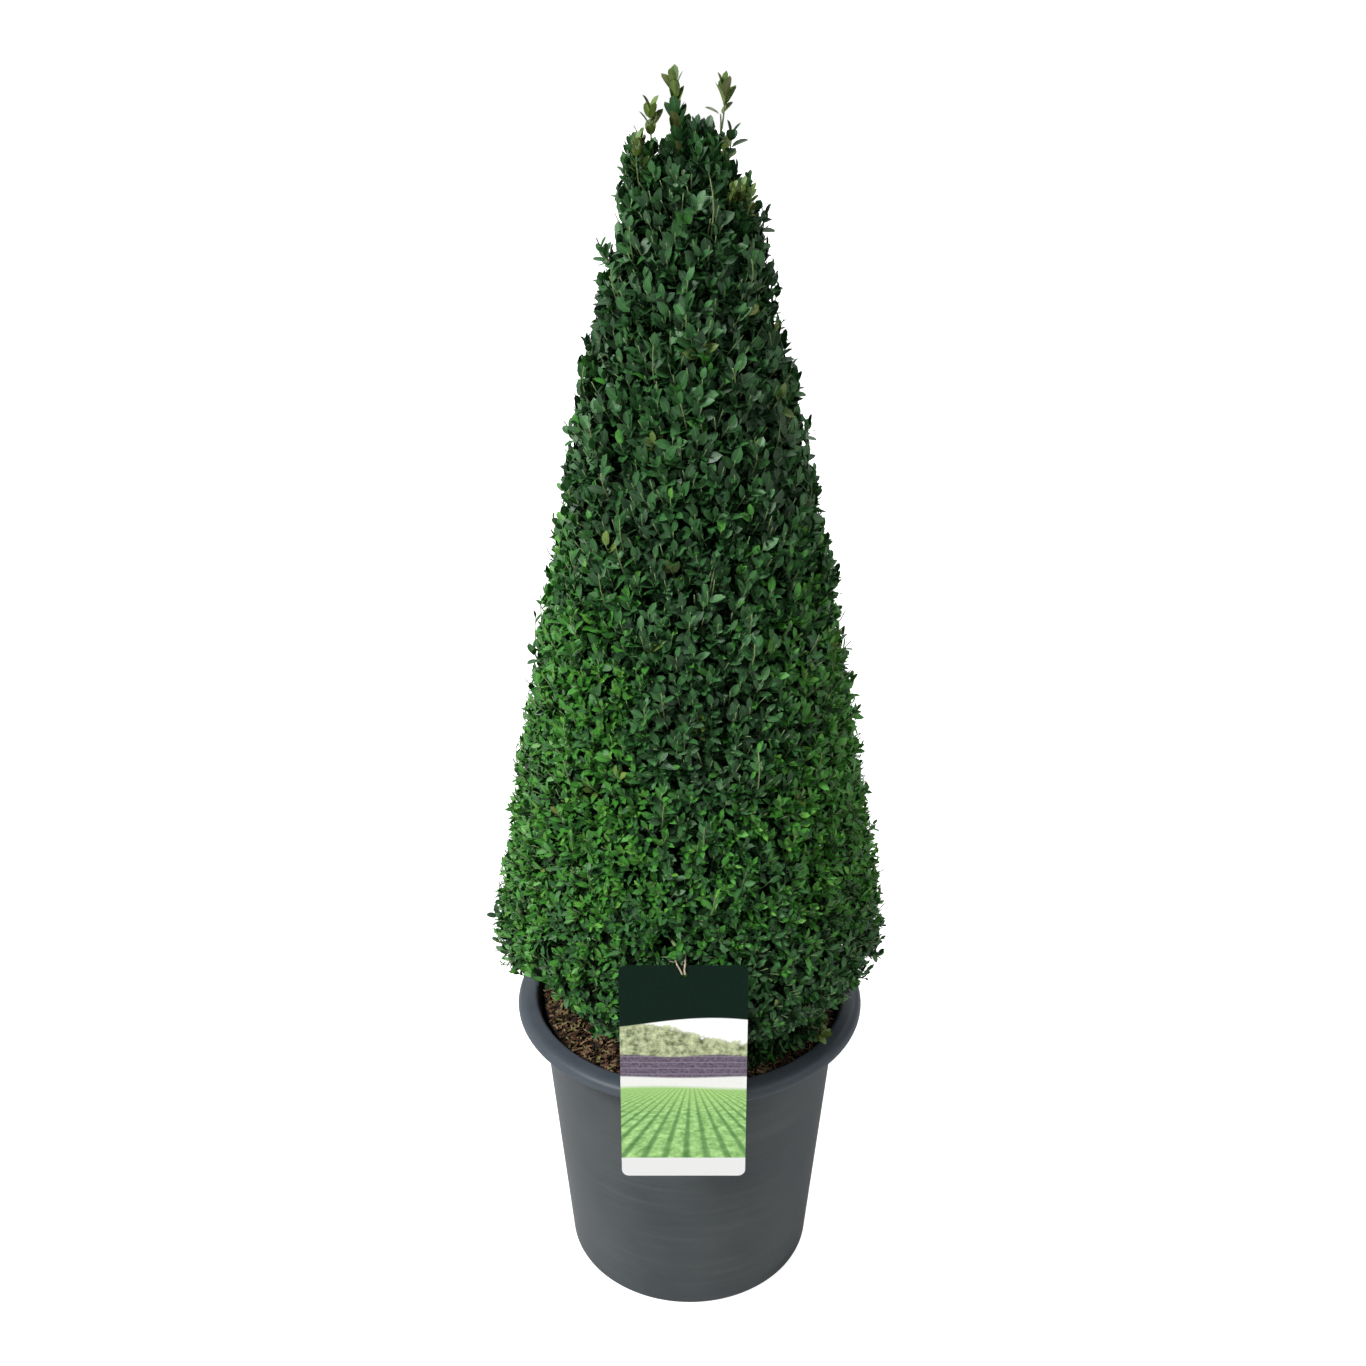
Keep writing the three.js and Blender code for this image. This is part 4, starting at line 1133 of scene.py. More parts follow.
def hole_plate(height, facing_up):
    """One level of the pot's floor: a disc, then a ring of cells each with a round hole.

    In a cell the square edge (radius, angle) and the hole's circle are joined by straight lines:
    point = circle + s (edge - circle), with s from 0 to 1. A point of the circle lies where the line
    from the hole's middle to its point of the edge crosses it. The circles come back too.
    """
    per_arc = POT_TURNS // HOLES
    half = math.pi / HOLES
    arc = np.linspace(-1, 1, per_arc + 1)
    leg = np.linspace(-1, 1, 9)
    outer = np.stack([np.ones_like(arc), arc], -1)[:-1]
    left = np.stack([-leg, np.ones_like(leg)], -1)[:-1]
    inner = np.stack([-np.ones_like(arc), -arc], -1)[:-1]
    right = np.stack([leg, -np.ones_like(leg)], -1)[:-1]
    square = np.concatenate([outer, left, inner, right])
    radius = (PLATE_INNER + PLATE_OUTER) / 2 + square[:, 0] * (PLATE_OUTER - PLATE_INNER) / 2
    centres = np.arange(HOLES) * 2 * half
    angle = centres[:, None] + square[:, 1] * half
    edge = np.stack([radius * np.cos(angle), radius * np.sin(angle)], -1)
    middle = HOLE_RING * np.stack([np.cos(centres), np.sin(centres)], -1)[:, None]
    circle = middle + HOLE_RADIUS * unit(edge - middle)
    s = np.array([0, 0.12, 0.45, 1.0])[:, None, None]
    cells = circle[:, None] + s * (edge - circle)[:, None]
    count = len(square)
    quads = many(grid_quads(len(s), count, wrap=True), HOLES, len(s) * count)
    flat = cells.reshape(-1, 2)
    points = np.concatenate([flat, np.full((len(flat), 1), height)], 1)
    rings = np.linspace(PLATE_INNER, 0.01, 5)
    turn = once_round(POT_TURNS)
    disc = rings[:, None, None] * np.stack([np.cos(turn), np.sin(turn)], -1)
    disc = np.concatenate([disc.reshape(-1, 2), [[0, 0]]])
    disc = np.concatenate([disc, np.full((len(disc), 1), height)], 1)
    disc_quads = grid_quads(len(rings), POT_TURNS, wrap=True)
    side = np.arange(POT_TURNS)
    last = (len(rings) - 1) * POT_TURNS
    middle_point = np.full(POT_TURNS, last + POT_TURNS)
    disc_tris = np.stack([last + side, last + (side + 1) % POT_TURNS, middle_point], -1)
    if facing_up:
        return points, quads[:, ::-1], disc, disc_quads, disc_tris, circle
    return points, quads, disc, disc_quads[:, ::-1], disc_tris[:, ::-1], circle


class TOPIARY_OT_pot(bpy.types.Operator):
    """Make the pot: a tapered plastic shell with a rolled rim and drain holes."""

    bl_idname = "topiary.pot"
    bl_label = "Pot"

    def execute(self, context):
        """Carries the section round the axis: a point is (r cos a, r sin a, z) of the section.

        The floor's two levels are joined by a tube in each drain hole, and the lip is a little cooler and
        lighter, a painted sheen.
        """
        pot = context.scene.topiary_pot
        section = pot_profile()
        turn = once_round(POT_TURNS)
        shape = Shape()
        wall = polar(section[:, :1], turn, section[:, 1:])
        shape.add(wall.reshape(-1, 3), grid_quads(len(section), POT_TURNS, wrap=True))
        circles = []
        for height, up in ((0.0, False), (POT_FLOOR, True)):
            cells, quads, disc, disc_quads, disc_tris, circle = hole_plate(height, up)
            shape.add(cells, quads)
            shape.add(disc, disc_quads, disc_tris)
            circles.append(np.concatenate([circle, np.full(circle.shape[:2] + (1,), height)], -1))
        tube = np.stack(circles, 1)
        count = tube.shape[2]
        tube_quads = many(grid_quads(2, count, wrap=True), HOLES, 2 * count)
        shape.add(tube.reshape(-1, 3), tube_quads[:, ::-1])
        values = {"Base": pot.plastic, "Dust": pot.dust, "Amount": 0.20, "Shine": 0.40, "Grain": 0.00010}
        plastic = finish_from("pot_plastic", dusty_group(), values, specular=0.15)
        tree = plastic.node_tree
        tint = tree.nodes["Principled BSDF"].inputs["Base Color"]
        skin = tint.links[0].from_socket
        # Painted sheen: from 280 mm up the plastic is made bluer and lighter, for the cool sheen on the rim.
        place = add(tree, "ShaderNodeTexCoord")
        height = add(tree, "ShaderNodeSeparateXYZ")
        tree.links.new(place.outputs["Object"], height.inputs[0])
        lip_sheen = between(tree, height.outputs["Z"], 0.280, 0.292)
        painted_cool_sheen = blended(tree, 1.0, skin, (1.06, 1.10, 1.25, 1), "MULTIPLY")
        tree.links.new(blended(tree, lip_sheen, skin, painted_cool_sheen), tint)
        made = shape.piece("pot_shell", [plastic], "pot", ["pot"])
        weld(made)
        return {"FINISHED"}


def weld(made, distance=1e-5):
    """Joins points that lie on each other, so edges that meet are closed."""
    mesh = bmesh.new()
    mesh.from_mesh(made.data)
    bmesh.ops.remove_doubles(mesh, verts=mesh.verts, dist=distance)
    bmesh.ops.recalc_face_normals(mesh, faces=mesh.faces)
    mesh.to_mesh(made.data)
    mesh.free()


# Soil and litter


def soil_height(x, y, pot):
    """Height of the soil: raised round the trunk and heaped at the wall, with lumps of a few millimetres."""
    radius = np.hypot(x, y)
    angle = np.arctan2(y, x)
    rise = 1 - ease(radius, 0.040, 0.146)
    lump = (np.sin(5 * angle + radius / 0.014) + np.cos(8 * angle - radius / 0.009)) * 0.0013
    fine = ripple(x / 0.022, y / 0.022, 21) * 0.0009 + ripple(x / 0.009, y / 0.009, 22) * 0.0005
    outside = ease(radius, 0.047, 0.060)
    heap = (0.005 + 0.007 * bay_at(angle, 214, 90)) * ease(radius, 0.105, 0.145)
    return pot.soil_height + 0.004 * rise + heap + (lump + fine) * outside


class TOPIARY_OT_soil(bpy.types.Operator):
    """Make the soil in the pot, with its bark litter."""

    bl_idname = "topiary.soil"
    bl_label = "Soil and litter"

    def execute(self, context):
        """The soil is a disc over (radius, angle); the chips lie on it at random turns."""
        pot = context.scene.topiary_pot
        make_soil(pot)
        make_litter(pot)
        return {"FINISHED"}


def make_soil(pot):
    """Top of the soil over (radius, angle), a wall down inside the pot, and a flat underside."""
    turns = 144
    radii = np.concatenate([[0.004], np.linspace(0.016, 0.1530, 44)])
    turn = once_round(turns)
    x, y = radii[:, None] * np.cos(turn), radii[:, None] * np.sin(turn)
    top = np.stack([x, y, soil_height(x, y, pot)], -1)
    underside = POT_FLOOR + 0.0006
    below = np.array([(0.1508, 0.270), (0.1395, 0.140), (0.1272, underside), (0.004, underside)])
    grid = np.concatenate([top, polar(below[:, :1], turn, below[:, 1:])])
    rows = len(grid)
    points = np.concatenate([grid.reshape(-1, 3), [[0, 0, top[0, 0, 2]], [0, 0, underside]]])
    quads = grid_quads(rows, turns, wrap=True)[:, ::-1]
    shape = Shape()
    shape.add(points, quads, end_fans(rows, turns, wrap=True)[:, [1, 0, 2]])
    values = {"Base": pot.soil, "Crack": (0.004, 0.003, 0.002, 1), "Scale": 160.0, "Crack share": 0.7}
    soil = finish_from("damp_soil", bark_group(), values, specular=0.25)
    shape.piece("soil_surface", [soil], "soil", ["soil"])


CHIP_COLOURS = {
    "litter_brown": (0.064, 0.030, 0.0155, 1),
    "litter_dark": (0.022, 0.012, 0.008, 1),
    "litter_tan": (0.20, 0.125, 0.070, 1),
    "litter_straw": (0.17, 0.165, 0.060, 1),
}


def litter_finishes():
    """Four plain bark colours with the bark's grain on them."""
    crack = (0.016, 0.007, 0.004, 1)
    return [wood_finish(name, tint, crack, 260.0, 0.45) for name, tint in CHIP_COLOURS.items()]


def make_litter(pot):
    """Chips of bark: boxes of eight corners, each corner moved at random.

    A chip's corner is place + l (length) + w (width) + t (thickness) along its own three axes. Most lie
    in the outer ring towards the wall, in a loose layer of 5 mm on the soil.
    """
    rng = default_rng(77)
    n = pot.chips
    middle_from, ring_from, ring_to = 0.030, 0.105, 0.1510
    inner = np.where(rng.random(n) < 0.8, ring_from, middle_from)
    radius = np.sqrt(rng.uniform(inner ** 2, ring_to ** 2))
    angle = rng.uniform(0, math.tau, n)
    x, y = radius * np.cos(angle), radius * np.sin(angle)
    typical, least, most = 0.0026, 0.0012, 0.0060
    size = rng.lognormal(math.log(typical), 0.42, n).clip(least, most)
    wide = np.minimum(size * rng.uniform(0.12, 0.40, n), 0.0012)
    thick = rng.uniform(0.0002, 0.0007, n)
    heading = rng.uniform(0, math.tau, n)
    tilt = rng.normal(0, 0.34, n)
    roll = rng.normal(0, 0.35, n)
    room = 0.1555 - radius
    size = np.minimum(size, np.maximum(room * 0.95, 0.0015))
    z = soil_height(x, y, pot) + rng.uniform(0.0004, 0.0050, n) * ease(radius, 0.03, 0.06)
    z = z + size * np.abs(np.sin(tilt)) * 0.5
    along = polar(np.cos(tilt), heading, np.sin(tilt))
    flat = unit(np.cross(UP, along))
    over = np.cross(along, flat)
    across = flat * np.cos(roll)[:, None] + over * np.sin(roll)[:, None]
    over = np.cross(along, across)
    corner = np.array([[a, b, c] for c in (-1, 1) for b in (-1, 1) for a in (-1, 1)], float)
    jitter = 1 + rng.uniform(-0.35, 0.35, (n, 8, 3))
    local = corner * jitter * np.stack([size, wide, thick], -1)[:, None]
    axes = np.stack([along, across, over], 1)
    points = np.stack([x, y, z], -1)[:, None] + np.einsum("nkc,ncd->nkd", local, axes)
    faces = np.array([[0, 2, 3, 1], [4, 5, 7, 6], [0, 1, 5, 4], [2, 6, 7, 3], [0, 4, 6, 2], [1, 3, 7, 5]])
    kind = rng.choice(4, n, p=[0.36, 0.22, 0.26, 0.16])
    shape = Shape()
    shape.add(points.reshape(-1, 3), many(faces, n, 8), quad_finish=np.repeat(kind, 6))
    shape.piece("bark_litter", litter_finishes(), "soil", smooth=False)


# Trunk and limbs


class TOPIARY_OT_trunk(bpy.types.Operator):
    """Make the trunk with its root flare and the relief of its bark."""

    bl_idname = "topiary.trunk"
    bl_label = "Trunk"

    def execute(self, context):
        """Carries a lobed ring up the trunk's middle line.

        The radius at angle a and height z is the trunk's radius times 1 + 0.14 flare cos 5a, with
        ridges of bark from soft waves that are narrow round the stem and long up it.
        """
        wood = context.scene.topiary_wood
        sides, rings = 40, 240
        share = np.linspace(0, 1, rings) ** 1.25
        z = TRUNK_FOOT + (TRUNK_TIP - TRUNK_FOOT) * share
        turn = once_round(sides)
        flare = 1 - ease(z, TRUNK_FOOT, TRUNK_FOOT + FLARE_HEIGHT)
        lobes = 1 + 0.14 * flare[:, None] * np.cos(5 * turn)
        ridge = ripple(np.cos(turn) * 1.1 + 0 * z[:, None], np.sin(turn) * 1.1 + z[:, None] * 9.0, 31)
        ridge = np.abs(ridge) + 0.5 * ripple(np.cos(turn) * 2.6, np.sin(turn) * 2.6 + z[:, None] * 30.0, 32)
        radius = trunk_radius(z, wood)[:, None] * lobes * (0.94 + 0.05 * np.clip(ridge, -1, 1.2))
        middle = trunk_middle(z)
        wall = middle[:, None] + polar(radius, turn, 0.0)
        points = np.concatenate([wall.reshape(-1, 3), middle[:1], middle[-1:]])
        shape = Shape()
        shape.add(points, grid_quads(rings, sides, wrap=True), end_fans(rings, sides, wrap=True))
        shape.piece("trunk_bark", [bark_finish(wood)], "trunk", ["trunk"])
        return {"FINISHED"}


# The twig that holds the card's tie, from the boughs to the clipped front
TIE_TWIG = np.linspace((CARD_TOP[0], -0.105, 0.447), (CARD_TOP[0], -0.1785, 0.4716), 5)


class TOPIARY_OT_boughs(bpy.types.Operator):
    """Make the boughs on the trunk and the branchlets on them."""

    bl_idname = "topiary.boughs"
    bl_label = "Boughs and branchlets"

    def execute(self, context):
        """Stems along the grown curves, each tapering to its tip, and the twig that holds the tie."""
        wood = context.scene.topiary_wood
        grown = grow(context.scene)
        shape = Shape()
        t = np.linspace(0, 1, 11)
        paths = bezier(*grown["boughs"], t)
        wide = np.interp(paths[:, 0, 2], [0.3, 1.1], [0.0048, 0.0022])[:, None]
        shape.add(*stems(paths, wide * (1 - 0.62 * t), 6))
        t = np.linspace(0, 1, 7)
        paths = bezier(*grown["branchlets"], t)
        shape.add(*stems(paths, np.full((len(paths), 1), 0.0017) * (1 - 0.45 * t), 4))
        shape.add(*stems(TIE_TWIG[None], np.full((1, len(TIE_TWIG)), 0.0016), 6))
        shape.piece("boughs_and_branchlets", [bark_finish(wood)], "trunk", TIERS)
        return {"FINISHED"}


class TOPIARY_OT_twigs(bpy.types.Operator):
    """Make the thin stems of the sprays, mass by mass."""

    bl_idname = "topiary.twigs"
    bl_label = "Spray twigs"

    def execute(self, context):
        """Stems of three sides along the sprays' curves.

        A short one is bark at its foot and green beyond, and a long shoot is pale all along.
        """
        wood = context.scene.topiary_wood
        sprays = grow(context.scene)["sprays"]
        curve = sprays["curve"]
        tier = tier_of(curve[3])
        finishes = [bark_finish(wood), green_finish(wood), pale_finish(wood)]
        green, pale = 1, 2
        sides = 3
        t = np.array([0, 0.3, 0.55, 0.75, 0.9, 1.0])
        past_foot = np.repeat(np.arange(len(t) - 1), sides) >= 1
        at_tip = np.repeat([0, 1], sides)
        for number, mass in enumerate(TIERS):
            own = [part[tier == number] for part in curve]
            long_one = sprays["long"][tier == number][:, None]
            radii = np.where(long_one, 0.00095, 0.00090) * (1 - 0.42 * t)
            skin = np.where(long_one, pale, green)
            wall, caps = skin * (long_one | past_foot), skin * at_tip
            shape = Shape()
            shape.add(*stems(bezier(*own, t), radii, sides), wall.ravel(), caps.ravel())
            shape.piece(mass.replace("foliage", "twigs"), finishes, "trunk", [mass])
        return {"FINISHED"}


# Leaves


def part_leaves(grown, chosen, rows):
    """The chosen leaves as a shape, each a grid of these rows and three columns."""
    own = {name: part[chosen] for name, part in grown.items()}
    shape = Shape()
    shape.add(*leaves(own, leaf_pattern(rows, 3)))
    return shape


MOST_TRIANGLES = 190000


class TOPIARY_OT_leaves(bpy.types.Operator):
    """Make the leaves of the clipped cone, mass by mass."""

    bl_idname = "topiary.leaves"
    bl_label = "Leaves"

    def execute(self, context):
        """Leaves of a low mass have two rows of points and the others three.

        A mass with too many leaves for one piece is shared out round the trunk by angle. The leaves far
        inside the crown are one piece of their own.
        """
        scene = context.scene
        grown = grow(scene)
        ends = grown["sprays"]["curve"][3]
        tier = tier_of(ends)[grown["leaves"]["spray"]]
        angle = np.arctan2(ends[:, 1], ends[:, 0])[grown["leaves"]["spray"]] + math.pi
        finishes = leaf_finishes(scene.topiary_leaf)
        for number, mass in enumerate(TIERS):
            rows = 2 if number < 2 else 3
            triangles_each = 4 * rows
            triangles = int((tier == number).sum()) * triangles_each
            parts = max(1, math.ceil(triangles / MOST_TRIANGLES))
            sector = np.minimum((angle / math.tau * parts).astype(int), parts - 1)
            for part in range(parts):
                shape = part_leaves(grown["leaves"], (tier == number) & (sector == part), rows)
                name = mass.replace("foliage", "leaves")
                name = f"{name}_{part + 1}" if parts > 1 else name
                shape.piece(name, finishes, "foliage", [mass])
        inner = part_leaves(grown["inner"], slice(None), 1)
        inner.piece("leaves_inside", finishes, "foliage", TIERS)
        return {"FINISHED"}


class Shoot(NamedTuple):
    """One single shoot, or a few that are scattered about it."""

    foot: tuple
    tip: tuple
    bend: float  # how far its middle is pushed sideways
    pairs: int
    leaf_size: float
    first: float  # turn of the pair at the tip
    tint: int
    share: float = 0.8  # of the shoot that bears leaves, from its tip
    near: float = 22  # how far in degrees the leaves open at the tip
    far: float = 55  # and at the lowest pair
    copies: int = 1
    scatter: float = 0


# Shoots over the clipped top, each with the values of a Shoot
TOP_SHOOTS = (
    ((-0.012, -0.008, 1.1), (-0.0142, -0.01, 1.1965), 0.002, 15, 0.0172, 1.35, OLIVE, 0.88, 12, 36),
    ((-0.01, -0.006, 1.1), (-0.0085, -0.009, 1.17), 0.003, 10, 0.016, 0.6, GROWN, 0.86, 14, 46),
    ((0.011, 0.0, 1.112), (0.027, 0.002, 1.1905), 0.004, 3, 0.0182, 0.35, OLIVE, 0.2, 10, 24),
    ((0.011, 0.0, 1.112), (0.024, 0.001, 1.173), 0.004, 1, 0.017, 0.15, TANNED, 0.1, 52, 52),
    ((0.01, -0.002, 1.112), (0.0155, -0.002, 1.158), 0.001, 1, 0.0165, 1.45, OLIVE, 0.1, 14, 14),
    ((-0.027, -0.004, 1.105), (-0.0335, -0.006, 1.176), -0.002, 4, 0.0172, 0.3, OLIVE, 0.36, 18, 42),
    ((0.022, -0.006, 1.1), (0.033, -0.008, 1.1575), 0.001, 4, 0.0155, 0.15, DEEP, 0.34, 20, 62),
    ((0.017, -0.006, 1.108), (0.0225, -0.007, 1.152), 0.001, 2, 0.012, 0.5, DEEP, 0.2, 25, 50),
    ((-0.033, -0.008, 1.084), (-0.042, -0.011, 1.15), -0.003, 15, 0.0095, 0.6, OLIVE,
     0.92, 20, 55, 6, 0.0056),
    ((-0.035, -0.006, 1.082), (-0.048, -0.008, 1.14), -0.003, 15, 0.0095, 0.9, GROWN,
     0.92, 20, 55, 6, 0.0056),
    ((0.025, -0.016, 1.062), (0.039, -0.026, 1.117), 0.002, 12, 0.0092, 0.6, OLIVE, 0.92, 20, 55, 6, 0.0045),
    ((0.028, -0.012, 1.06), (0.048, -0.014, 1.115), 0.003, 12, 0.0092, 0.9, GROWN, 0.92, 20, 55, 5, 0.0045),
    ((-0.004, 0.014, 1.108), (-0.008, 0.024, 1.154), 0.002, 7, 0.0155, 0.5, GROWN, 0.75, 16, 48, 2, 0.004),
    ((0.012, 0.014, 1.108), (0.02, 0.028, 1.146), 0.002, 6, 0.0155, 0.8, OLIVE, 0.75, 16, 48, 2, 0.004),
    ((0.004, -0.014, 1.104), (0.008, -0.02, 1.147), 0.001, 8, 0.016, 0.8, GROWN, 0.85, 16, 52, 3, 0.0055),
    ((-0.016, 0.012, 1.1), (-0.028, 0.022, 1.138), -0.002, 6, 0.0155, 0.7, GROWN, 0.8, 16, 48, 2, 0.004),
    ((0.008, -0.004, 1.108), (0.013, -0.006, 1.152), 0.001, 8, 0.016, 0.8, DEEP, 0.85, 16, 52, 3, 0.0055),
    ((-0.012, -0.01, 1.1), (-0.02, -0.016, 1.136), -0.002, 8, 0.0155, 0.9, DEEP, 0.85, 16, 52, 3, 0.005),
)
# Sprigs that stand out of the clipped side and hang inside the rim
SIDE_SPRIGS = (
    ((0.046, -0.006, 1.072), (0.062, -0.008, 1.094), 0.003, 3, 0.013, 0.2, DEEP),
    ((0.058, -0.004, 1.014), (0.07, -0.004, 1.04), 0.002, 4, 0.0125, 0.3, GROWN),
    ((-0.056, -0.006, 1.045), (-0.074, -0.008, 1.064), -0.002, 4, 0.012, 0.2, GROWN, 0.8, 22, 55, 2, 0.003),
    ((-0.094, -0.006, 0.892), (-0.108, -0.008, 0.912), -0.002, 3, 0.012, 0.4, GROWN),
    ((0.08, -0.01, 0.934), (0.092, -0.012, 0.954), 0.002, 3, 0.0125, 0.5, GROWN),
    ((0.092, -0.01, 0.896), (0.104, -0.012, 0.916), 0.002, 3, 0.0125, 0.1, GROWN),
    ((0.118, -0.01, 0.762), (0.133, -0.012, 0.778), 0.002, 3, 0.0115, 0.6, DEEP),
    ((-0.135, -0.01, 0.68), (-0.148, -0.012, 0.702), -0.002, 3, 0.0115, 0.3, GROWN),
    ((-0.176, -0.008, 0.392), (-0.1985, -0.01, 0.409), -0.003, 4, 0.0125, 1.3, DEEP),
    ((-0.168, -0.028, 0.376), (-0.188, -0.032, 0.379), -0.004, 4, 0.0095, 0.4, DEEP),
    ((-0.15, -0.048, 0.372), (-0.17, -0.054, 0.374), -0.004, 4, 0.0095, 0.7, DEEP),
    ((0.172, -0.01, 0.362), (0.194, -0.012, 0.36), 0.003, 4, 0.0105, 0.3, GROWN),
    ((0.098, -0.082, 0.336), (0.131, -0.101, 0.334), 0.002, 8, 0.011, 0.4, OLIVE, 0.8, 22, 60, 2, 0.005),
    ((0.098, -0.078, 0.334), (0.124, -0.099, 0.331), 0.002, 8, 0.01, 0.4, GROWN, 0.8, 22, 60, 3, 0.005),
    ((0.082, -0.084, 0.334), (0.096, -0.105, 0.328), 0.002, 8, 0.01, 0.7, GROWN, 0.8, 22, 60, 4, 0.005),
    ((0.06, -0.09, 0.332), (0.071, -0.115, 0.326), 0.001, 8, 0.01, 0.2, GROWN, 0.8, 22, 60, 4, 0.005),
    ((-0.02, -0.166, 0.484), (-0.011, -0.188, 0.48), 0.002, 4, 0.01, 0.3, FRESH, 0.5, 40, 70, 2, 0.0015),
    ((0.004, -0.166, 0.486), (-0.006, -0.188, 0.481), -0.002, 4, 0.01, 0.8, GROWN, 0.5, 40, 70, 2, 0.0015),
    ((0.08, -0.076, 0.324), (0.096, -0.094, 0.313), 0.002, 7, 0.011, 0.7, GROWN, 0.8, 22, 60, 4, 0.006),
    ((0.056, -0.082, 0.32), (0.068, -0.108, 0.311), 0.001, 7, 0.011, 0.2, DEEP, 0.8, 22, 60, 4, 0.006),
    ((0.1, -0.06, 0.324), (0.118, -0.07, 0.317), 0.002, 7, 0.011, 0.9, GROWN, 0.8, 22, 60, 3, 0.0055),
    ((-0.074, -0.078, 0.35), (-0.083, -0.099, 0.327), -0.002, 7, 0.011, 0.5, GROWN, 0.8, 22, 60, 2, 0.005),
    ((-0.086, -0.074, 0.36), (-0.096, -0.094, 0.342), -0.002, 7, 0.011, 0.2, DEEP, 0.8, 22, 60, 2, 0.005),
)


def shoot_parts(rows):
    """Curves and leaves of single shoots, by the same rule as the sprays.

    A shoot is a cubic curve from foot to tip whose middle is pushed sideways by its bend. Its pairs
    stand evenly over its leafy share and each is turned a quarter from the one before. Copies are
    scattered at both ends. Olive and tanned leaves are mixed, and the lower ones of a long shoot may be
    grown ones.
    """
    rng = default_rng(9)
    shoots = [Shoot(*row) for row in rows]
    shoots = [shoot for shoot in shoots for _ in range(shoot.copies)]
    scatter = np.array([shoot.scatter for shoot in shoots])[:, None] * rng.normal(0, 1, (len(shoots), 3))
    foot = np.array([shoot.foot for shoot in shoots]) + scatter * (0.6, 0.6, 0.0)
    tip = np.array([shoot.tip for shoot in shoots]) + scatter * (1.0, 1.0, 1.2)
    bend = np.array([shoot.bend for shoot in shoots])
    span = np.linalg.norm(tip - foot, axis=1)[:, None]
    push = np.array([1.0, 0, 0]) * bend[:, None]
    p1 = foot + (tip - foot) * 0.33 + push
    p2 = tip - (unit(tip - foot) * 0.5 + UP * 0.5) * span * 0.33 + push
    parts = {name: [] for name in ("base", "heading", "face", "size", "width", "finish")}
    for index, shoot in enumerate(shoots):
        pairs, tint = shoot.pairs, shoot.tint
        node = np.arange(pairs)
        curve = [part[index:index + 1] for part in (foot, p1, p2, tip)]
        t = 1 - shoot.share * node / pairs
        place, along = bezier(*curve, t)[0], bezier_heading(*curve, t)[0]
        side = unit(np.cross(along, np.array([0.0, -1.0, 0.25])))
        other = np.cross(along, side)
        turn = shoot.first + node * math.pi / 2 + rng.normal(0, 0.16, pairs)
        turn = np.stack([turn, turn + math.pi], -1)
        around = about_stem(turn, side, other)
        opening = np.radians(np.linspace(shoot.near, shoot.far, pairs))[:, None]
        spread = opening + rng.normal(0, 0.12, (pairs, 2))
        ahead, beside = np.cos(spread)[..., None], np.sin(spread)[..., None]
        heading = unit(along[:, None] * ahead + around * beside)
        face = along[:, None] * beside - around * ahead + np.array([0, -0.45, 0.15])
        face = face + rng.normal(0, 0.15, face.shape)
        face = square_to(face, heading)
        growth = np.minimum(0.84 + 0.12 * node, 1.0)[:, None] * rng.uniform(0.86, 1.08, (pairs, 2))
        parts["base"].append((place[:, None] + around * 0.0010).reshape(-1, 3))
        parts["heading"].append(heading.reshape(-1, 3))
        parts["face"].append(face.reshape(-1, 3))
        size = (shoot.leaf_size * growth).ravel()
        parts["size"].append(size)
        parts["width"].append(size * rng.uniform(0.25, 0.31, pairs * 2))
        chance = rng.random(pairs * 2)
        sunny = tint in (OLIVE, TANNED)
        other_tint = TANNED if tint == OLIVE else OLIVE
        greener = sunny & (pairs > 8) & (chance > 0.42) & (np.repeat(node, 2) > 3)
        dealt = np.where(sunny & (chance < 0.22), other_tint, tint)
        parts["finish"].append(np.where(greener, GROWN, dealt))
    made = {name: np.concatenate(part) for name, part in parts.items()}
    made["fold"] = rng.uniform(0.15, 0.35, len(made["size"]))
    made["bend"] = rng.uniform(0.02, 0.20, len(made["size"]))
    return (foot, p1, p2, tip), made


class TOPIARY_OT_shoots(bpy.types.Operator):
    """Make the young shoots over the clipped top, and the sprigs that stand out of the side."""

    bl_idname = "topiary.shoots"
    bl_label = "Young shoots"

    def execute(self, context):
        """Stems of six sides and finer leaves, because they show against the background."""
        scene = context.scene
        tanned = leaf_material("leaf_olive_brown", scene.topiary_leaf.tanned, 0.35, 0.35)
        finishes = [*leaf_finishes(scene.topiary_leaf), tanned, green_finish(scene.topiary_wood)]
        t = np.linspace(0, 1, 12)
        for name, shoots, leaf_rows, slot, mass in (
            ("young_shoots", TOP_SHOOTS, 4, "young_shoots", ["foliage_tip"]),
            ("side_sprigs", SIDE_SPRIGS, 5, "foliage", TIERS[:4]),
        ):
            curve, own = shoot_parts(shoots)
            paths = bezier(*curve, t)
            radii = np.full((len(paths), 1), 0.00115) * (1 - 0.5 * t)
            shape = Shape()
            shape.add(*stems(paths, radii, 6), GREEN_STEM, GREEN_STEM)
            shape.add(*leaves(own, leaf_pattern(leaf_rows, 5)))
            shape.piece(name, finishes, slot, mass)
        return {"FINISHED"}


# Card and tie

HOLE_DROP = 0.010
CARD_HOLE = 0.0034
CARD_CORNER = 0.007


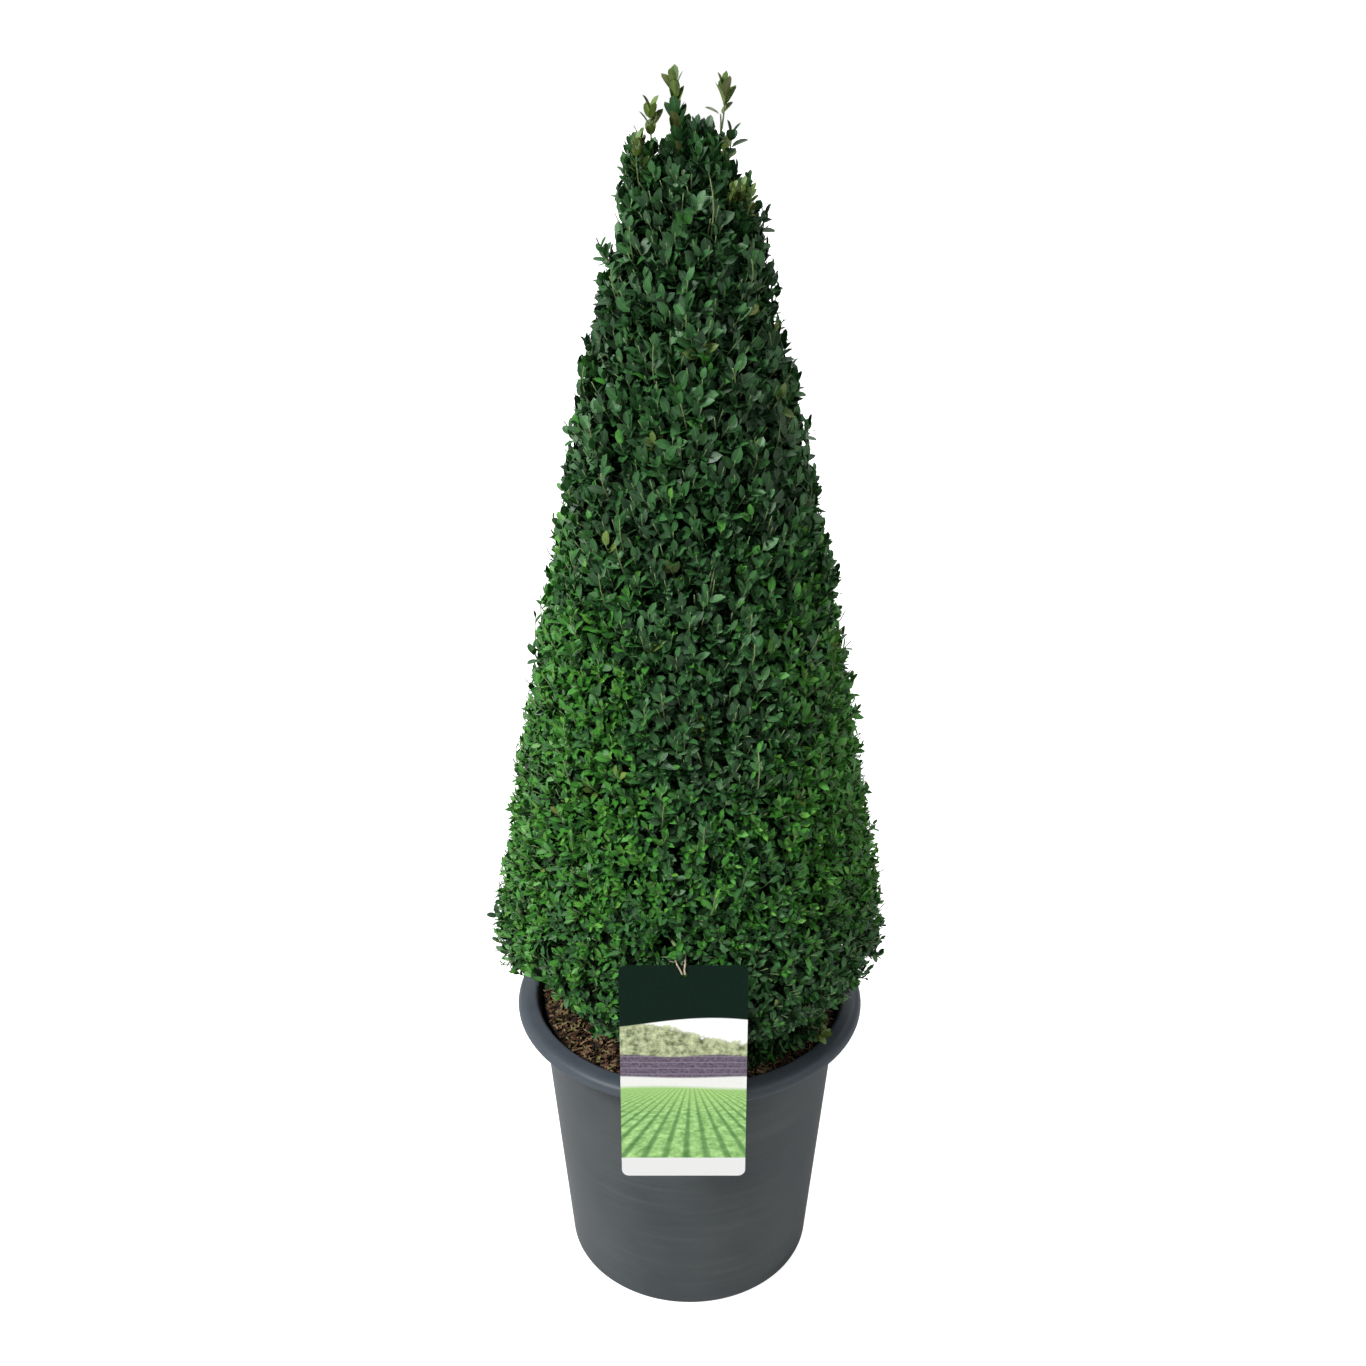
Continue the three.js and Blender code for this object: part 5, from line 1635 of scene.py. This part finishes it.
def card_outline(card, count):
    """Points round the card's edge, seen from its hole at even angles and at its corners' own points.

    The edge is a rectangle whose corners are quarter circles; a ray from the hole meets it where a
    fine outline crosses the ray's angle.
    """
    half, corner = card.width / 2, CARD_CORNER
    quarter = np.linspace(0, math.pi / 2, 12)
    centres = [(half - corner, -corner, 0), (-half + corner, -corner, 1),
               (-half + corner, corner - card.height, 2), (half - corner, corner - card.height, 3)]
    line = []
    for x, y, turn in centres:
        angle = quarter + turn * math.pi / 2
        line.append(np.stack([x + corner * np.cos(angle), y + corner * np.sin(angle)], -1))
    line = np.concatenate(line)
    line = np.concatenate([line, line[:1]])
    fine = np.concatenate([np.linspace(a, b, 40)[:-1] for a, b in zip(line[:-1], line[1:])])
    bearing = np.arctan2(fine[:, 1] + HOLE_DROP, fine[:, 0])
    order = np.argsort(bearing)
    corners = np.arctan2(line[:-1, 1] + HOLE_DROP, line[:-1, 0])
    even = np.linspace(-math.pi, math.pi, count, endpoint=False)
    wanted = np.unique(np.concatenate([even, corners]))
    x = np.interp(wanted, bearing[order], fine[order, 0], period=math.tau)
    y = np.interp(wanted, bearing[order], fine[order, 1], period=math.tau)
    return wanted, np.stack([x, y], -1)


def card_print(card):
    """The card's printed face, all by its UV map: a dark header over a made-up garden, and a pale foot.

    The garden is plain bands: a pale sky, trees that fall away to the right, a boarded fence, a pale path,
    and a field whose rows run to a point: row = sine of (u - middle) / (horizon - v).
    """
    made, tree, shader = new_material("card_print")
    place = add(tree, "ShaderNodeTexCoord")
    split = add(tree, "ShaderNodeSeparateXYZ")
    tree.links.new(place.outputs["UV"], split.inputs[0])
    u, v = split.outputs[0], split.outputs[1]

    def over(line, soft=0.004):
        """Mask that is 1 above a line of v."""
        return between(tree, calc(tree, "SUBTRACT", v, line), -soft, soft)

    def wave(base, size, pitch, phase):
        """A line of v that waves with u."""
        swing = calc(tree, "SINE", calc(tree, "MULTIPLY_ADD", u, pitch, phase))
        return calc(tree, "MULTIPLY_ADD", swing, size, base)

    stretch = add(tree, "ShaderNodeMapping")
    fill(stretch, {"Scale": (1.0, 1.95, 1.0)})
    tree.links.new(place.outputs["UV"], stretch.inputs["Vector"])
    leafy = speckle(tree, stretch.outputs[0], 13.0, detail=7.0, roughness=0.72)
    grain = speckle(tree, stretch.outputs[0], 38.0, detail=5.0, roughness=0.7)
    away = calc(tree, "DIVIDE", 1.0, calc(tree, "MAXIMUM", calc(tree, "SUBTRACT", 0.500, v), 0.035))
    aside = times(tree, calc(tree, "SUBTRACT", u, 0.56), away)
    ground = add(tree, "ShaderNodeCombineXYZ")
    tree.links.new(aside, ground.inputs[0])
    tree.links.new(away, ground.inputs[1])
    tufts = speckle(tree, ground.outputs[0], 3.4, detail=6.0, roughness=0.75)
    rows = calc(tree, "SINE", times(tree, aside, 15.0))
    tufty = between(tree, tufts, 0.32, 0.66)
    lawn = blended(tree, tufty, (0.085, 0.22, 0.055, 1), (0.42, 0.66, 0.26, 1))
    lawn = blended(tree, between(tree, rows, -0.1, -0.9, 0.0, 0.7), lawn, (0.055, 0.155, 0.045, 1))
    lawn = blended(tree, between(tree, v, 0.30, 0.45, 0.0, 0.45), lawn, (0.40, 0.62, 0.20, 1))
    path = blended(tree, grain, (0.62, 0.62, 0.59, 1), (0.74, 0.74, 0.71, 1))
    boards = calc(tree, "SINE", times(tree, v, 230.0))
    grained = between(tree, grain, 0.30, 0.70)
    fence = blended(tree, grained, (0.050, 0.038, 0.056, 1), (0.18, 0.15, 0.20, 1))
    fence = blended(tree, between(tree, boards, 0.80, 0.97, 0.0, 0.55), fence, (0.25, 0.22, 0.27, 1))
    leafed = between(tree, leafy, 0.36, 0.62)
    trees = blended(tree, leafed, (0.075, 0.100, 0.045, 1), (0.52, 0.56, 0.34, 1))
    sky = blended(tree, u, (0.78, 0.79, 0.72, 1), (0.82, 0.83, 0.84, 1))
    header = blended(tree, grained, card.header, (0.0065, 0.0165, 0.011, 1))
    ragged = calc(tree, "MULTIPLY_ADD", leafy, 0.10, wave(0.640, 0.045, 3.6, 1.1))
    picture = blended(tree, over(wave(0.432, 0.006, 4.0, 0.4), 0.008), lawn, path)
    picture = blended(tree, over(wave(0.484, 0.004, 5.0, 2.2)), picture, fence)
    picture = blended(tree, over(wave(0.585, 0.005, 9.0, 1.0)), picture, trees)
    picture = blended(tree, over(ragged, 0.006), picture, sky)
    picture = blended(tree, over(wave(0.735, 0.026, 3.0, -0.6), 0.002), picture, header)
    picture = blended(tree, over(0.090, 0.0015), card.paper, picture)
    tree.links.new(picture, shader.inputs["Base Color"])
    tree.links.new(between(tree, grain, 0.3, 0.7, 0.34, 0.46), shader.inputs["Roughness"])
    fill(shader, {"Specular IOR Level": 0.02})
    return made


class TOPIARY_OT_card(bpy.types.Operator):
    """Make the plant card with its hole and a made-up print."""

    bl_idname = "topiary.card"
    bl_label = "Plant card"

    def execute(self, context):
        """Both faces join the hole's circle to the card's edge: circle + s (edge - circle).

        Two strips close the thickness, one in the hole and one round the edge.
        """
        card = context.scene.topiary_card
        bearing, edge = card_outline(card, 72)
        hole = np.stack([np.cos(bearing), np.sin(bearing)], -1) * CARD_HOLE - np.array([0, HOLE_DROP])
        s = np.array([0, 0.03, 0.15, 0.4, 0.7, 0.97, 1.0])[:, None, None]
        sheet = hole + s * (edge - hole)
        count = sheet.shape[1]
        axes = card_axes(card)
        front = np.concatenate([sheet, np.zeros(sheet.shape[:2] + (1,))], -1).reshape(-1, 3)
        back = front - np.array([0, 0, card.thickness])
        placed = sheet.reshape(-1, 2) / np.array([card.width, card.height]) + np.array([0.5, 1.0])
        quads = grid_quads(len(s), count, wrap=True)
        shape = Shape()
        shape.add(front @ axes + CARD_TOP, quads[:, ::-1], placed=placed)
        shape.add(back @ axes + CARD_TOP, quads, quad_finish=1, placed=placed)
        for row, way in ((slice(0, count), 1), (slice(-count, None), -1)):
            ring = np.concatenate([front[row], back[row]])
            strip = grid_quads(2, count, wrap=True)[:, ::way]
            shape.add(ring @ axes + CARD_TOP, strip, placed=np.tile(placed[row], (2, 1)))
        dust = (0.55, 0.54, 0.50, 1)
        values = {"Base": card.paper, "Dust": dust, "Amount": 0.10, "Shine": 0.36, "Grain": 0.00002}
        back_finish = finish_from("card_board", dusty_group(), values, specular=0.4)
        finishes = [card_print(card), back_finish]
        made = shape.piece("plant_card", finishes, "card", ["label_card"], smooth=False)
        weld(made, 1e-6)
        return {"FINISHED"}


def smooth_path(stops, count):
    """A curve through stops: the cubic that leaves each stop along the line between its neighbours."""
    stops = np.asarray(stops, float)
    padded = np.concatenate([2 * stops[:1] - stops[1:2], stops, 2 * stops[-1:] - stops[-2:-1]])
    t = np.linspace(0, len(stops) - 1 - 1e-6, count)
    index = t.astype(int)
    f = (t - index)[:, None]
    a, b, c, d = (padded[index + shift] for shift in range(4))
    square, cube = 2 * a - 5 * b + 4 * c - d, 3 * b - a - 3 * c + d
    return 0.5 * (2 * b + (c - a) * f + square * f ** 2 + cube * f ** 3)


class TOPIARY_OT_tie(bpy.types.Operator):
    """Make the raffia tie that holds the card on a twig."""

    bl_idname = "topiary.tie"
    bl_label = "Raffia tie"

    def execute(self, context):
        """Flat strips along smooth curves over the card's edge and through its hole, a knot and an end."""
        card = context.scene.topiary_card
        axes = card_axes(card)
        mm = 0.001
        strip_face = np.array([[0.2, 0.9, 0.4]])

        def on_card(x, y, z):
            """A point in the card's own axes, in millimetres."""
            return np.array([x, y, z]) * mm @ axes + CARD_TOP

        knot = np.array([CARD_TOP[0], -0.177, 0.475])
        shape = Shape()
        for edge, side in ((-6.5, -1.0), (1.4, 1.0)):
            stops = [
                knot + np.array([side * 1.5 * mm, 0, 0]),
                on_card(edge, 3.5, -6.0),
                on_card(edge, 2.4, -0.4),
                on_card(edge * 0.8, 0.2, 1.2),
                on_card(edge * 0.5, -3.5, 1.3),
                on_card(side * 1.4, -8.2, 1.2),
                on_card(side * 1.2, -9.0, -0.4),
                on_card(side * 1.2, -8.6, -2.2),
                on_card(side * 1.4, -2.0, -6.0),
                knot + np.array([side * 0.8 * mm, 0, 0]),
            ]
            path = smooth_path(stops, 60)[None]
            wide = 0.00092 * (1 + 0.18 * np.sin(np.linspace(0, 9, 60) + edge))[None]
            shape.add(*stems(path, wide, 10, flat=0.36, facing=strip_face))
        loose = smooth_path([
            knot, on_card(-4.5, 4.0, -5.0), on_card(-8.0, 3.5, -0.5), on_card(-12.5, 5.0, 1.0),
        ], 24)[None]
        thin = 0.0008 * (1 - 0.4 * np.linspace(0, 1, 24))[None]
        shape.add(*stems(loose, thin, 8, flat=0.4, facing=strip_face))
        steps = 46
        turn = np.linspace(0, math.tau * 1.9, steps)
        climb = np.linspace(-0.0016, 0.0016, steps) + 0.0004 * np.sin(3 * turn)
        wrap = knot + np.stack([0.0021 * np.cos(turn), 0.0017 * np.sin(turn), climb], -1)
        shape.add(*stems(wrap[None], np.full((1, steps), 0.0009), 8, flat=0.7))
        raffia = wood_finish("raffia", card.raffia, (0.30, 0.19, 0.09, 1), 420.0, 0.5)
        shape.piece("raffia_tie", [raffia], "tie", ["label_tie"])
        return {"FINISHED"}


# Stage


def soft_light(name, strength, spread, place):
    """A distant soft light that shines from a place to the pot, as wide in the sky as its spread."""
    data = bpy.data.lights.new(name, "SUN")
    data.energy = strength
    data.angle = math.radians(spread)
    light = new_object(name, data)
    light.location = place
    light.rotation_euler = (-Vector(place)).to_track_quat("-Z", "Y").to_euler()


class TOPIARY_OT_stage(bpy.types.Operator):
    """Set the pale floor, the soft studio light and the camera."""

    bl_idname = "topiary.stage"
    bl_label = "Stage"

    def execute(self, context):
        """The camera stands in front and looks down by its pitch; the main light comes from the left."""
        scene = context.scene
        stage = scene.topiary_stage
        if stage.show_floor:
            self.make_floor(stage)
        world = bpy.data.worlds.new("studio")
        world.use_nodes = True
        tree = world.node_tree
        sky = tree.nodes["Background"]
        fill(sky, {"Color": (1.0, 1.0, 1.0, 1.0)})
        path = add(tree, "ShaderNodeLightPath")
        strength = between(tree, path.outputs["Is Camera Ray"], 0.0, 1.0, stage.daylight, 1.0)
        tree.links.new(strength, sky.inputs["Strength"])
        scene.world = world
        soft_light("key", stage.key, 22, (-1.8, -1.1, 2.1))
        soft_light("fill", stage.key * 0.28, 50, (1.6, -0.7, 1.3))
        soft_light("back", stage.key * 0.34, 50, (0.2, 2.0, 1.8))
        data = bpy.data.cameras.new("photo_view")
        data.lens = stage.lens
        data.sensor_width = 36.0
        data.clip_end = 50.0
        camera = new_object("photo_view", data)
        camera.location = (stage.camera_aside, -stage.camera_distance, stage.camera_height)
        camera.rotation_euler = (math.pi / 2 - stage.camera_pitch, 0.0, 0.0)
        scene.camera = camera
        scene.view_settings.view_transform = "Standard"
        return {"FINISHED"}

    def make_floor(self, stage):
        """A flat round floor under the pot, one disc of rings."""
        turns = 64
        turn = once_round(turns)
        radii = np.array([0.3, 1.0, 3.0, 9.0, 20.0])[:, None]
        rings = polar(radii, turn, 0.0).reshape(-1, 3)
        points = np.concatenate([rings, [[0, 0, 0]]])
        side = np.arange(turns)
        fan = np.stack([side, (side + 1) % turns, np.full(turns, len(rings))], -1)
        mesh = bpy.data.meshes.new("floor")
        faces = grid_quads(len(radii), turns, wrap=True)[:, ::-1].tolist() + fan.tolist()
        mesh.from_pydata(points.tolist(), [], faces)
        mesh.update()
        pale, tree, shader = new_material("pale_floor")
        fill(shader, {"Base Color": stage.floor, "Roughness": 0.9, "Specular IOR Level": 0.1})
        fill(shader, {"Emission Color": (1.0, 1.0, 1.0, 1.0)})
        path = add(tree, "ShaderNodeLightPath")
        glow = between(tree, path.outputs["Is Camera Ray"], 0.0, 1.0, 0.0, stage.floor_glow)
        tree.links.new(glow, shader.inputs["Emission Strength"])
        mesh.materials.append(pale)
        floor = new_object("floor", mesh)


# Panel and registration


OPERATORS = (
    TOPIARY_OT_pot,
    TOPIARY_OT_soil,
    TOPIARY_OT_trunk,
    TOPIARY_OT_boughs,
    TOPIARY_OT_twigs,
    TOPIARY_OT_leaves,
    TOPIARY_OT_shoots,
    TOPIARY_OT_card,
    TOPIARY_OT_tie,
    TOPIARY_OT_stage,
)


class TOPIARY_PT_panel(bpy.types.Panel):
    """Lists the pieces and the settings they are made from."""

    bl_idname = "TOPIARY_PT_panel"
    bl_label = "Potted boxwood cone"
    bl_space_type = "VIEW_3D"
    bl_region_type = "UI"
    bl_category = "Topiary"

    def draw(self, context):
        """One button for each operator, then the settings of each group."""
        for operator in OPERATORS:
            self.layout.operator(operator.bl_idname)
        for name, group in SETTINGS.items():
            box = self.layout.box()
            box.label(text=group.__name__.replace("Settings", ""))
            for setting in group.__annotations__:
                box.prop(getattr(context.scene, name), setting)


CLASSES = (*SETTINGS.values(), *OPERATORS, TOPIARY_PT_panel)


def register():
    """Registers the classes and hangs the settings on the scene."""
    for kind in CLASSES:
        bpy.utils.register_class(kind)
    for name, group in SETTINGS.items():
        setattr(bpy.types.Scene, name, PointerProperty(type=group))


def unregister():
    """Takes the settings and the classes away again."""
    for name in SETTINGS:
        delattr(bpy.types.Scene, name)
    for kind in reversed(CLASSES):
        bpy.utils.unregister_class(kind)


def main():
    """Registers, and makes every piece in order."""
    register()
    bpy.ops.topiary.pot()
    bpy.ops.topiary.soil()
    bpy.ops.topiary.trunk()
    bpy.ops.topiary.boughs()
    bpy.ops.topiary.twigs()
    bpy.ops.topiary.leaves()
    bpy.ops.topiary.shoots()
    bpy.ops.topiary.card()
    bpy.ops.topiary.tie()
    bpy.ops.topiary.stage()


if __name__ == "__main__":
    main()
